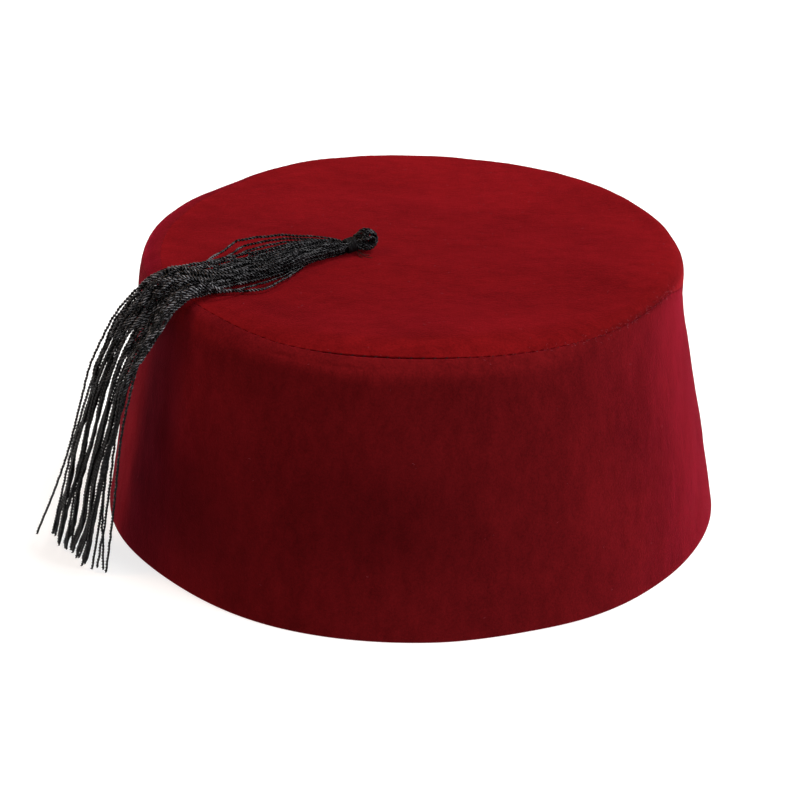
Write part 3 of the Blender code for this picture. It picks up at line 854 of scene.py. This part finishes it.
def scattered(random, places, kept, size, limit):
    """A share of each place, shifted at random and kept within the limit."""
    return np.clip(kept * places + random.normal(0.0, size, len(places)), -limit, limit)


def bundle_places(random):
    """Each cord's place across and up in the neck and further on, and where it changes over."""
    number = np.arange(CORDS)
    neck = NECK_FILL * np.sqrt((number + 0.5) / CORDS)
    across = scattered(random, neck * np.cos(number * GOLDEN_TURN), *NECK_ACROSS)
    up = scattered(random, neck * np.sin(number * GOLDEN_TURN), *NECK_UP)
    mixed = scattered(random, across, *MIXED_ACROSS)
    mixed_up = scattered(random, up, *MIXED_UP)
    start = random.uniform(*MIX_STARTS, CORDS)
    crossers = np.argsort(across - CROSSER_LEAN * up)[:CROSSERS]
    across[crossers] = random.uniform(*CROSSER_NECK, CROSSERS)
    mixed[crossers] = random.uniform(*CROSSER_ACROSS, CROSSERS)
    mixed_up[crossers] = random.uniform(*CROSSER_UP, CROSSERS)
    start[crossers] = CROSSER_START
    return [places[:, None] for places in (across, up, mixed, mixed_up, start)]


def strand_places(stations, along, mixed, random):
    """How far each cord hangs right of the bundle's middle line, and away from the front."""
    order = np.argsort(mixed + random.normal(0.0, STRAND_MIX, CORDS))[::-1]
    held = np.clip(stations, STRANDS[0][0], STRANDS[-1][0] - 1e-6)
    strands = along_rows(padded(STRANDS), held).T * MM
    strand = np.empty(CORDS, int)
    strand[order] = np.arange(CORDS) * len(strands) // CORDS
    spread = random.normal(0.0, 1.0, CORDS)
    set_back = np.empty(CORDS)
    for number in range(len(strands)):
        members = np.nonzero(strand == number)[0]
        set_back[random.permutation(members)] = np.linspace(-1.0, 1.0, len(members))
    sways = np.stack([wander(along, *STRAND_SWAY, random) for _ in strands])
    right = strands[strand] + sways[strand] + spread[:, None] * STRAND_SCATTER
    return right, set_back[:, None] * STRAND_DEPTH + STRAND_SLANT * right


def bundle_offsets(stations, along, side, outward, half_width, half_depth, random):
    """Where each cord of the bundle lies across and out from its middle line."""
    neck, neck_up, mixed, mixed_up, start = bundle_places(random)
    right, away = strand_places(stations, along, mixed[:, 0], random)
    blend = ramp(stations, start, start + MIX_LENGTH)
    u = neck * (1.0 - blend) + mixed * blend
    v = neck_up * (1.0 - blend) + mixed_up * blend
    gathered = 1.0 - GATHER * ramp(stations, *GATHER_STARTS) * (1.0 - ramp(stations, *GATHER_ENDS))
    across = u * (half_width * gathered - CORD_RADIUS)
    out = v * (half_depth - CORD_RADIUS) * np.sqrt(1.0 - FLATTENED * u * u)

    flat_side = side[:, :2] / np.linalg.norm(side[:, :2], axis=1)[:, None]
    flat_out = np.stack([flat_side[:, 1], -flat_side[:, 0]], -1)
    flat_out *= np.sign(np.sum(flat_out * outward[:, :2], axis=1))[:, None]
    fall = ramp(stations, *FALL_STARTS)
    across = across * (1.0 - fall) + (right * flat_side[:, 0] + away * flat_side[:, 1]) * fall
    out = out * (1.0 - fall) + (right * flat_out[:, 0] + away * flat_out[:, 1]) * fall

    calm = ramp(stations, *WANDER_FREED) * (1.0 - HANGING_CALM * fall)
    for cord in range(CORDS):
        for shortest, longest, size in WANDER:
            across[cord] += wander(along, shortest, longest, size, random) * calm
            out[cord] += wander(along, shortest, longest, WANDER_OUT * size, random) * calm
    return across, out


def stray_offsets(stations):
    """Where each stray cord lies across and out from the bundle's middle line."""
    routes = [along_rows(padded(places), stations) * MM for _, _, places in STRAYS]
    return np.moveaxis(np.stack(routes), -1, 0)


def settle(wanted, thickness, lowest, hold):
    """Places across and out, pushed apart where cords would share one, and off the cloth."""
    moved = np.zeros_like(wanted)
    for _ in range(SETTLE_TURNS):
        spots = wanted + moved
        between = spots[:, None] - spots[None]
        distance = np.linalg.norm(between, axis=-1) + 1e-9
        short = np.clip(CORD_SPACE * thickness - distance, 0.0, None)
        push = (between / distance[..., None] * short[..., None]).sum(1)
        moved += np.clip(SETTLE_PUSH * push, -SETTLE_LIMIT, SETTLE_LIMIT)
        moved[:, 1:-1] += SETTLE_SMOOTH * (moved[:, 2:] + moved[:, :-2] - 2.0 * moved[:, 1:-1])
        moved *= 1.0 - SETTLE_RETURN * hold
        moved[..., 1] += np.clip(lowest - wanted[..., 1] - moved[..., 1], 0.0, None)
        moved[:, 0] = 0.0
    return wanted + moved


def cord_routes(random):
    """The cords' middle lines, with the stations along them and the thickness there."""
    stations, along, middle, side, outward, half_width, half_depth = skirt_frames()
    bundle = bundle_offsets(stations, along, side, outward, half_width, half_depth, random)
    wanted = np.stack([np.concatenate(pair) for pair in zip(bundle, stray_offsets(stations))], -1)
    thickness = SQUEEZE + (1.0 - SQUEEZE) * ramp(stations, 0.0, SQUEEZE_ENDS)
    lowest = CORD_RADIUS + 2.0 * TOUCH - cloth_gap(middle)[0]
    hold = np.ones((len(wanted), 1, 1))
    hold[CORDS:] = STRAY_HOLD
    places = settle(wanted, thickness, lowest, hold)
    routes = middle + places[..., :1] * side + places[..., 1:] * outward
    freed = ramp(stations, *KINKS_FREED)
    for route in routes:
        for way in (side, outward):
            route += way * (wander(along, *KINKS, random) * freed)[:, None]
    for _ in range(LIFT_TURNS):
        routes[:, 1:] = kept_out(routes[:, 1:], CORD_RADIUS + PILE)
        routes[:, 1:-1] += LIFT_SMOOTH * (routes[:, 2:] + routes[:, :-2] - 2.0 * routes[:, 1:-1])
    return routes, stations, thickness


def make_skirt(material):
    """The free cords, each cut where it comes down to its tip's height, in three pieces."""
    random = np.random.default_rng(seed=21)
    routes, stations, thickness = cord_routes(random)
    tips = np.concatenate([random.uniform(*TIP_HEIGHTS, CORDS), [row[1] for row in STRAYS]]) * MM
    outline = ply_outline()
    into = np.array(TASSEL_WAY) * INSIDE_WINDING
    groups = [[], [], []]
    for cord, route in enumerate(routes):
        fallen = np.nonzero((route[:, 2] < tips[cord]) & (stations > LOWEST_TIPS_FROM))[0]
        last = fallen[0] if len(fallen) else len(route) - 1
        points = resampled(np.concatenate([[route[0] - into], route[:last + 1]]), CORD_STEP)
        reached = np.linspace(INSIDE_STATION, stations[last], len(points))
        scale = np.interp(reached, stations, thickness)
        scale[-1] *= TIP_SCALE
        phase = random.uniform(0.0, math.pi)
        groups[cord % len(groups)].append(tube(points, outline, cord, 1.0 / TWIST, phase, scale))
    for number, group in enumerate(groups, 1):
        joined("tassel_cords_%d" % number, group, material, ("tassel_skirt",))


def head_space():
    """The head's middle, and its directions: along the tassel, up, and along the fold."""
    along = np.array(TASSEL_WAY)
    fold = np.cross((0.0, 0.0, 1.0), along)
    fold /= np.linalg.norm(fold)
    fold *= -np.sign(fold[1])
    up = np.cross(fold, along)
    return np.array(HEAD_CENTRE), along, up * np.sign(up[2]), fold


LOOP_LAYERS = (
    # radius of the layer, loops side by side in it
    (3.05, 6),
    (2.05, 4),
    (1.05, 2),
)
LOOP_GAP = 1.02                 # between two loops, in millimetres
LOOP_LEAST = 0.5                # the square of the smallest loop's radius
LOOP_TILT = 0.22                # along the fold for each step up, at most
LOOP_SWELLS = (0.95, 1.04)      # of the radius along the tassel
LOOP_ANGLES = np.linspace(-128.0, 128.0, 15) * DEG
LOOP_SCALE = 0.66               # of the cord at the ends, and where it is as thick as anywhere
LOOP_SCALE_REACH = (1.0 * MM, 4.0 * MM)
LEG_START = (0.86, 0.92, 0.72)  # shares of the head's half length, the radius and the place
LEG_RADIUS = 1.7                # counts as the radius where that is larger
LEG_ENDS = ((0.7, 1.0, 0.45), (1.9, 0.8, 0.36))     # past the head, shares up and aside
LEG_UP = 0.6
OUTER_NECK = 1.5                # how far the outer layer's ends scatter, and the others'
INNER_NECK = 0.8


def loop_places(layer, loops, index, number, random):
    """A cord folded over: places along the tassel, up, and along the fold, in millimetres."""
    half = HEAD_LENGTH / 2.0 / MM
    beside = (index - (loops - 1) / 2.0) * LOOP_GAP
    radius = math.sqrt(max(layer ** 2 - beside ** 2, LOOP_LEAST))
    tilt = random.uniform(-LOOP_TILT, LOOP_TILT)
    swell = random.uniform(*LOOP_SWELLS)
    places = []
    for angle in LOOP_ANGLES:
        up = radius * math.sin(angle)
        places.append((-radius * swell * math.cos(angle), up, beside + tilt * up))
    outer = layer == LOOP_LAYERS[0][0]
    neck = OUTER_NECK * math.sqrt((index + 0.7) / loops) if outer else INNER_NECK
    along, high, aside = LEG_START
    legs = []
    for end, side in enumerate((-1.0, 1.0)):
        up = neck * math.sin((number * 2 + end) * GOLDEN_TURN) / 2.0 + side * LEG_UP
        start = (half * along, side * min(radius, LEG_RADIUS) * high, beside * aside)
        legs.append([start] + [(half + past, up * share, beside * close)
                               for past, share, close in LEG_ENDS])
    return legs[0][::-1] + places + legs[1]


def make_head(material):
    """The cords folded over into a round head, their ends gathered into the winding."""
    random = np.random.default_rng(seed=5)
    centre, along, up, fold = head_space()
    outline = ply_outline()
    tubes = []
    for layer, loops in LOOP_LAYERS:
        for index in range(loops):
            places = np.array(loop_places(layer, loops, index, len(tubes), random)) * MM
            points = resampled(centre + places @ np.array((along, up, fold)), CORD_STEP)
            points = kept_out(points, CORD_RADIUS + TOUCH)
            order = np.arange(len(points))
            ends = np.minimum(order, order[::-1]) * CORD_STEP
            scale = LOOP_SCALE + (1.0 - LOOP_SCALE) * ramp(ends, *LOOP_SCALE_REACH)
            phase = random.uniform(0.0, math.pi)
            tubes.append(tube(points, outline, HEAD_NUMBERS + len(tubes), 1.0 / TWIST, phase,
                              scale))
    joined("tassel_head_loops", tubes, material, ("tassel_head",))


THREAD_RADIUS = 0.25 * MM
THREAD_SIDES = 6                # of the sewing thread's outline
BINDING_LAYERS = (
    # radius to the thread's middle, turns, lean of the turns
    (1.80, 6.2, 0.0),
    (2.06, 6.8, 0.13),
    (2.14, 3.4, -0.22),
)
BINDING_WOBBLE = 0.09           # along the neck, in millimetres
BINDING_BENDS = 5               # of the wobble, and points of the thread, in a turn
BINDING_POINTS = 36
BINDING_STEP = 0.2 * MM
BINDING_SWELL = (0.02, 2.3)     # of the radius, and how many times in a turn
LAYER_TURN = 1.3                # between the starts of two layers, in radians


def circle_outline(radius, sides):
    angles = np.arange(sides) / sides * 2.0 * np.pi
    return radius * np.stack([np.cos(angles), np.sin(angles)], -1)


def make_binding(material):
    """Thread wound round the neck in layers that cross a little."""
    random = np.random.default_rng(seed=9)
    centre, along, up, fold = head_space()
    start = HEAD_LENGTH / 2.0 + PIECE_GAP + THREAD_RADIUS
    length = WINDING_LENGTH - 2.0 * THREAD_RADIUS
    outline = ply_outline() * THREAD_RADIUS / CORD_RADIUS
    tubes = []
    for layer, (radius, turns, lean) in enumerate(BINDING_LAYERS):
        angles = np.linspace(0.0, turns * 2.0 * np.pi, int(turns * BINDING_POINTS))
        bends = np.linspace(0.0, angles[-1], BINDING_BENDS * round(turns))
        wobble = np.interp(angles, bends, random.normal(0.0, BINDING_WOBBLE, len(bends)))
        at = start + length * angles / angles[-1] + (wobble + lean * np.cos(angles)) * MM
        swell, times = BINDING_SWELL
        lift = radius * MM * (1.0 + swell * np.sin(angles * times + layer))
        turned = angles + LAYER_TURN * layer
        places = np.stack([np.clip(at, start, start + length), lift * np.cos(turned),
                           lift * np.sin(turned)], -1)
        points = resampled(centre + places @ np.array((along, up, fold)), BINDING_STEP)
        tubes.append(tube(points, outline, BINDING_NUMBERS + layer, 2.0 / TWIST))
    joined("tassel_binding_thread", tubes, material, ("tassel_binding",))


TAILS = (
    # name, then points (along the tassel, towards the front, above the cloth) from the head
    ("long end", ((3.4, 1.2, 1.6), (3.0, 2.8, 0.7), (2.0, 4.2, 0.25), (0.8, 5.4, 0.2))),
    ("short end", ((3.6, 1.0, 1.4), (3.8, 2.6, 0.5), (3.4, 4.2, 0.2))),
    ("curled end", ((3.2, 1.4, 1.2), (2.2, 2.8, 0.6), (0.6, 3.2, 0.25))),
)
TAIL_RADIUS = 0.13 * MM
TAIL_FLAT = (1.0, 0.75)         # the outline's shares across and through
TAIL_TWIST = 900.0              # in turns per metre, as for the stitches
TAIL_STEP = 0.15 * MM


def make_tails(material):
    """The cut ends of the sewing thread, lying on the cloth beside the head."""
    centre, along, _, fold = head_space()
    flat = np.array([along[0], along[1], 0.0]) / math.hypot(along[0], along[1])
    foot = np.array([centre[0], centre[1], HEIGHT])
    outline = circle_outline(TAIL_RADIUS, THREAD_SIDES) * TAIL_FLAT
    tubes = []
    for number, (_, places) in enumerate(TAILS, TAIL_NUMBERS):
        points = foot + np.array(places) * MM @ np.array((flat, fold, (0.0, 0.0, 1.0)))
        points = kept_out(resampled(points, TAIL_STEP), TAIL_RADIUS + TOUCH)
        tubes.append(tube(points, outline, number, TAIL_TWIST))
    joined("tassel_thread_ends", tubes, material)


STITCH_RADIUS = 0.13 * MM
STITCH_REACH = 0.55 * MM        # to each side of the seam, and a random share of it
STITCH_REACHES = (0.85, 1.15)
STITCH_SLANTS = (0.25, 0.6)     # degrees round the hat
STITCH_DEPTH = 0.10 * MM        # in the middle, and how much deeper at the ends
STITCH_DIVE = 0.55 * MM
STITCH_TWIST = 500.0
STITCH_POINTS = 9
STITCH_STEP = 0.12 * MM


def make_stitches(material):
    """The seam's thread, seen in the groove where each stitch draws the two edges together."""
    random = np.random.default_rng(seed=12)
    azimuths = np.interp(np.arange(STITCHES) / STITCHES * SEAM_LENGTHS[-1],
                         SEAM_LENGTHS, SEAM_AZIMUTHS)
    outline = circle_outline(STITCH_RADIUS, THREAD_SIDES)
    places = np.linspace(-1.0, 1.0, STITCH_POINTS)
    tubes = []
    for number, azimuth in enumerate(azimuths):
        reach = STITCH_REACH * random.uniform(*STITCH_REACHES)
        slant = random.uniform(*STITCH_SLANTS)
        depth = STITCH_DEPTH + STITCH_DIVE * np.abs(places) ** 3
        route = on_cloth(azimuth + places * slant, seam_at(azimuth) + places * reach, depth)
        tubes.append(tube(resampled(route, STITCH_STEP), outline, number, STITCH_TWIST))
    joined("seam_stitches", tubes, material)


FIBRES = 300
SEAM_FIBRES = 110               # of them, those along the seam
FIBRE_MARGINS = (6.0 * MM, 10.0 * MM)   # that the others keep to the rim and the top's middle
FIBRE_RADIUS = 0.022 * MM
FIBRE_SIDES = 4
FIBRE_POINTS = 5
FIBRE_SPREAD = (322.0, 14.0)    # middle and size of the random azimuth along the seam
FIBRE_STRAY = (0.3, 0.8)        # the same inward from the seam, in millimetres
FIBRE_LENGTHS = (0.25, 0.8)     # in millimetres
FIBRE_CURL = 2.4                # radians at most
FIBRE_FOOT = 0.03 * MM
FIBRE_LIFTS = (0.05, 0.25)      # of the end, in millimetres


def make_lint(material):
    """Short fine fibres that cling to the velvet, many of them along the seam at the right."""
    random = np.random.default_rng(seed=33)
    outline = circle_outline(FIBRE_RADIUS, FIBRE_SIDES)
    along = np.linspace(0.0, 1.0, FIBRE_POINTS)
    tubes = []
    for number in range(FIBRES):
        if number < SEAM_FIBRES:
            azimuth = random.normal(*FIBRE_SPREAD)
            inward = seam_at(azimuth) + random.normal(*FIBRE_STRAY) * MM
        else:
            azimuth = random.uniform(0.0, 360.0)
            inward = random.uniform(WALL_FOOT + FIBRE_MARGINS[0], DISC_CENTRE - FIBRE_MARGINS[1])
        way = random.uniform(0.0, 2.0 * np.pi) + random.uniform(-FIBRE_CURL, FIBRE_CURL) * along
        step = random.uniform(*FIBRE_LENGTHS) * MM / (FIBRE_POINTS - 1)
        turn = np.cumsum(np.cos(way)) * step / meridian(inward)[0] / DEG
        height = FIBRE_FOOT + random.uniform(*FIBRE_LIFTS) * MM * along ** 2
        points = on_cloth(azimuth + turn, inward + np.cumsum(np.sin(way)) * step, -height)
        tubes.append(tube(points, outline, number))
    joined("lint", tubes, material)


# Materials.

MIX_COLOURS = slice(6, 8)       # the sockets of a Mix node that mixes colours
MIX_RESULT = 2


class Nodes:
    """A material's node tree, with short ways to add and join nodes."""

    def __init__(self, name):
        self.material = bpy.data.materials.new(name)
        self.material.use_nodes = True
        self.tree = self.material.node_tree
        self.shader = self.tree.nodes["Principled BSDF"]

    def add(self, kind, values=None, **settings):
        node = self.tree.nodes.new(kind)
        for name, value in settings.items():
            setattr(node, name, value)
        for name, value in (values or {}).items():
            node.inputs[name].default_value = value
        return node

    def join(self, source, target):
        self.tree.links.new(source, target)

    def noise(self, vector, scale, detail=3.0, roughness=0.55, stretch=(1.0, 1.0, 1.0)):
        place = self.add("ShaderNodeMapping", {"Scale": stretch})
        self.join(vector, place.inputs["Vector"])
        node = self.add("ShaderNodeTexNoise", {"Scale": scale, "Detail": detail,
                                               "Roughness": roughness})
        self.join(place.outputs["Vector"], node.inputs["Vector"])
        return node.outputs["Fac"]

    def spread(self, value, low, high, to_low=0.0, to_high=1.0):
        node = self.add("ShaderNodeMapRange", {"From Min": low, "From Max": high,
                                               "To Min": to_low, "To Max": to_high})
        self.join(value, node.inputs["Value"])
        return node.outputs["Result"]

    def fill(self, socket, value):
        """Links a socket, or a colour or number set on it."""
        if isinstance(value, bpy.types.NodeSocket):
            self.join(value, socket)
        else:
            socket.default_value = (*value, 1.0) if isinstance(value, tuple) else value

    def mix_colour(self, share, first, second):
        node = self.add("ShaderNodeMix", data_type="RGBA")
        self.join(share, node.inputs["Factor"])
        for socket, value in zip(node.inputs[MIX_COLOURS], (first, second)):
            self.fill(socket, value)
        return node.outputs[MIX_RESULT]

    def calculate(self, operation, first, second):
        node = self.add("ShaderNodeMath", operation=operation)
        for socket, value in zip(node.inputs, (first, second)):
            self.fill(socket, value)
        return node.outputs["Value"]

    def bump(self, height, distance, strength, normal=None):
        node = self.add("ShaderNodeBump", {"Strength": strength, "Distance": distance})
        self.join(height, node.inputs["Height"])
        if normal is not None:
            self.join(normal, node.inputs["Normal"])
        return node.outputs["Normal"]

    def set(self, **values):
        """The shader's inputs, with underscores for spaces: links, colours or numbers."""
        for name, value in values.items():
            self.fill(self.shader.inputs[name.replace("_", " ")], value)


def velvet_material(name, streak, dark, light, tint):
    """Velvet: dark seen straight on, brighter where the pile is seen aslant, lightly mottled, its
    colour scaled by the painted light and shade.
    """
    nodes = Nodes(name)
    place = nodes.add("ShaderNodeTexCoord").outputs["Object"]
    broad = nodes.noise(place, scale=45.0, roughness=0.5, stretch=streak)
    patches = nodes.noise(place, scale=300.0, detail=4.0, roughness=0.65, stretch=streak)
    pile = nodes.noise(place, scale=1500.0, roughness=0.7)
    fine = nodes.calculate("ADD", nodes.spread(patches, 0.35, 0.65, to_high=0.32),
                           nodes.spread(pile, 0.36, 0.64, to_high=0.36))
    blend = nodes.calculate("ADD", nodes.spread(broad, 0.32, 0.68, to_high=0.44), fine)
    # the painted light and shade of each point scales the base colour
    shade = nodes.add("ShaderNodeAttribute", attribute_name="shade").outputs["Fac"]
    shaded = nodes.add("ShaderNodeVectorMath", operation="SCALE")
    nodes.join(nodes.mix_colour(blend, dark, light), shaded.inputs[0])
    nodes.join(shade, shaded.inputs["Scale"])
    lie = nodes.bump(nodes.noise(place, scale=150.0, stretch=streak), distance=1.0 * MM,
                     strength=0.30)
    nodes.set(Base_Color=shaded.outputs["Vector"], Roughness=0.9, Sheen_Weight=0.36,
              Sheen_Roughness=0.42, Sheen_Tint=tint, Specular_IOR_Level=0.015,
              Normal=nodes.bump(pile, distance=0.22 * MM, strength=0.9, normal=lie))
    return nodes.material


def backing_material():
    """The plain dark woven cloth that stiffens the hat, inside."""
    nodes = Nodes("woven_backing")
    place = nodes.add("ShaderNodeTexCoord").outputs["Object"]
    threads = []
    for turned in ((1.0, 1.0, 1.0), (1.0, -1.0, 1.0)):
        way = nodes.add("ShaderNodeMapping", {"Scale": turned})
        nodes.join(place, way.inputs["Vector"])
        wave = nodes.add("ShaderNodeTexWave", {"Scale": 260.0, "Distortion": 1.2, "Detail": 1.0},
                         wave_type="BANDS", bands_direction="DIAGONAL")
        nodes.join(way.outputs["Vector"], wave.inputs["Vector"])
        threads.append(wave.outputs["Fac"])
    weave = nodes.calculate("MULTIPLY", *threads)
    colour = nodes.mix_colour(nodes.spread(weave, 0.0, 0.8), (0.016, 0.008, 0.009),
                              (0.055, 0.030, 0.032))
    nodes.set(Base_Color=colour, Roughness=0.9,
              Normal=nodes.bump(weave, distance=0.3 * MM, strength=0.6))
    return nodes.material


# Where along a cord its painted glints are strongest: the bend, which the lamps light the most.
BEND_STARTS = (36.0 * MM, 56.0 * MM)    # along a cord, where it catches the most light
BEND_ENDS = (102.0 * MM, 80.0 * MM)
LINES = 9000.0                  # radians of the filaments' lines per metre of cord
LINES_LEAN = 9.0                # and from its middle to its outside


def cord_material(name, dark, light, roughness):
    """Glossy twisted thread: fine filaments run aslant along each ply, and the crests carry painted
    glints, strongest at the bend.
    """
    nodes = Nodes(name)
    where = nodes.add("ShaderNodeAttribute", attribute_name="cord").outputs["Vector"]
    parts = nodes.add("ShaderNodeSeparateXYZ")
    nodes.join(where, parts.inputs["Vector"])
    along, far = parts.outputs["X"], parts.outputs["Y"]
    slant = nodes.calculate("ADD", nodes.calculate("MULTIPLY", along, LINES),
                            nodes.calculate("MULTIPLY", far, LINES_LEAN))
    lines = nodes.calculate("SINE", slant, 0.0)
    tone = nodes.noise(where, scale=600.0, detail=2.0, roughness=0.5, stretch=(1.0, 0.001, 0.37))
    # painted light: the glints are strongest at the bend, weaker before it and weakest on the hanging
    # part
    bend = nodes.calculate("MULTIPLY", nodes.spread(along, *BEND_STARTS),
                           nodes.spread(along, *BEND_ENDS))
    painted_light_share = nodes.calculate("ADD", nodes.calculate("MULTIPLY", bend, 0.85),
                           nodes.spread(along, *BEND_ENDS, to_low=0.12, to_high=0.36))
    # painted glints: a lighter colour on the ply crests, at random places along the cord
    painted_glints = nodes.calculate("MULTIPLY", nodes.spread(tone, 0.44, 0.66),
                             nodes.spread(far, 0.72, 0.96))
    place = nodes.add("ShaderNodeTexCoord").outputs["Object"]
    fibres = nodes.bump(nodes.noise(place, scale=1900.0, detail=2.0, roughness=0.6),
                        distance=0.14 * MM, strength=0.8)
    uneven = nodes.noise(where, scale=1500.0, detail=2.0, roughness=0.5,
                         stretch=(1.0, 0.001, 0.61))
    nodes.set(Base_Color=nodes.mix_colour(nodes.calculate("MULTIPLY", painted_glints, painted_light_share), dark, light),
              Roughness=nodes.spread(uneven, 0.3, 0.7, to_low=roughness - 0.07,
                                     to_high=roughness + 0.1),
              Specular_IOR_Level=0.16,
              Normal=nodes.bump(lines, distance=0.04 * MM, strength=0.6, normal=fibres))
    return nodes.material


def plain_material(name, colour, roughness, **values):
    nodes = Nodes(name)
    nodes.set(Base_Color=colour, Roughness=roughness, Specular_IOR_Level=0.1, **values)
    return nodes.material


# The stage.

def make_camera():
    """The photograph's camera, with the shift that its framing needs."""
    data = bpy.data.cameras.new("camera")
    data.sensor_width = SENSOR
    data.lens = FOCAL_PIXELS / FRAME_PIXELS * SENSOR
    data.shift_x = (FRAME_PIXELS / 2.0 - AXIS_PIXEL[0]) / FRAME_PIXELS
    data.shift_y = (AXIS_PIXEL[1] - FRAME_PIXELS / 2.0) / FRAME_PIXELS
    data.clip_start = 0.01
    camera = add_object("camera", data)
    rise = CAMERA_RISE * DEG
    spot = Vector((AXIS_X, -CAMERA_AWAY * math.cos(rise),
                   CAMERA_AIM_Z + CAMERA_AWAY * math.sin(rise)))
    camera.matrix_world = (Matrix.Translation(spot)
                           @ Matrix.Rotation(math.pi / 2.0 - rise, 4, "X")
                           @ Matrix.Rotation(-CAMERA_ROLL * DEG, 4, "Z"))
    bpy.context.scene.camera = camera


def add_light(name, azimuth, elevation, away, size, power, colour):
    """A square soft light that looks at the hat."""
    data = bpy.data.lights.new(name, "AREA")
    data.shape = "SQUARE"
    data.size = size
    data.energy = power
    data.color = colour
    light = add_object(name, data)
    way = direction(azimuth, elevation)
    light.location = Vector((AXIS_X, 0.0, CAMERA_AIM_Z)) + way * away
    light.rotation_euler = way.to_track_quat("Z", "Y").to_euler()


def make_stage():
    """A pale floor that glows a little, a dim white world and three soft lights."""
    mesh = bpy.data.meshes.new("floor")
    mesh.from_pydata([(x * FLOOR_REACH, y * FLOOR_REACH, 0.0)
                      for x, y in ((-1, -1), (1, -1), (1, 1), (-1, 1))], [], [(0, 1, 2, 3)])
    mesh.materials.append(plain_material("pale_floor", FLOOR_COLOUR, 0.8, Emission_Color=WHITE,
                                         Emission_Strength=FLOOR_GLOW))
    floor = add_object("floor", mesh)
    world = bpy.data.worlds.new("soft_white")
    world.use_nodes = True
    world.node_tree.nodes["Background"].inputs["Color"].default_value = (*WHITE, 1.0)
    world.node_tree.nodes["Background"].inputs["Strength"].default_value = WORLD_GLOW
    bpy.context.scene.world = world
    bpy.context.scene.view_settings.view_transform = "Standard"
    for light in LIGHTS:
        add_light(*light)


make_camera()
make_stage()
backing = backing_material()
# The top's base colours are lighter than the side's: painted light on the face turned up to the
# lamps; the two also differ a little in hue.
make_band((velvet_material("velvet_side", streak=(1.0, 1.0, 0.5), dark=(0.041, 0.0014, 0.0018),
                           light=(0.095, 0.0034, 0.0044), tint=(1.0, 0.018, 0.085)), backing))
make_disc((velvet_material("velvet_top", streak=(0.65, 1.0, 1.0), dark=(0.052, 0.0012, 0.0015),
                           light=(0.114, 0.0029, 0.0037), tint=(1.0, 0.025, 0.058)), backing))
make_seam_turning(backing)
make_stitches(plain_material("seam_thread", colour=(0.012, 0.002, 0.003), roughness=0.7))
make_lint(plain_material("pale_lint", colour=(0.26, 0.05, 0.07), roughness=0.9))
# In each cord material the light colour is that of the painted glints on the ply crests.
cord = cord_material("black_cord", dark=(0.0010, 0.0010, 0.0015), light=(0.180, 0.180, 0.195),
                     roughness=0.15)
make_skirt(cord)
make_head(cord)
make_binding(cord_material("binding_thread", dark=(0.004, 0.0036, 0.0045),
                           light=(0.010, 0.009, 0.011), roughness=0.38))
make_tails(cord_material("loose_thread", dark=(0.014, 0.009, 0.006), light=(0.030, 0.019, 0.013),
                         roughness=0.6))
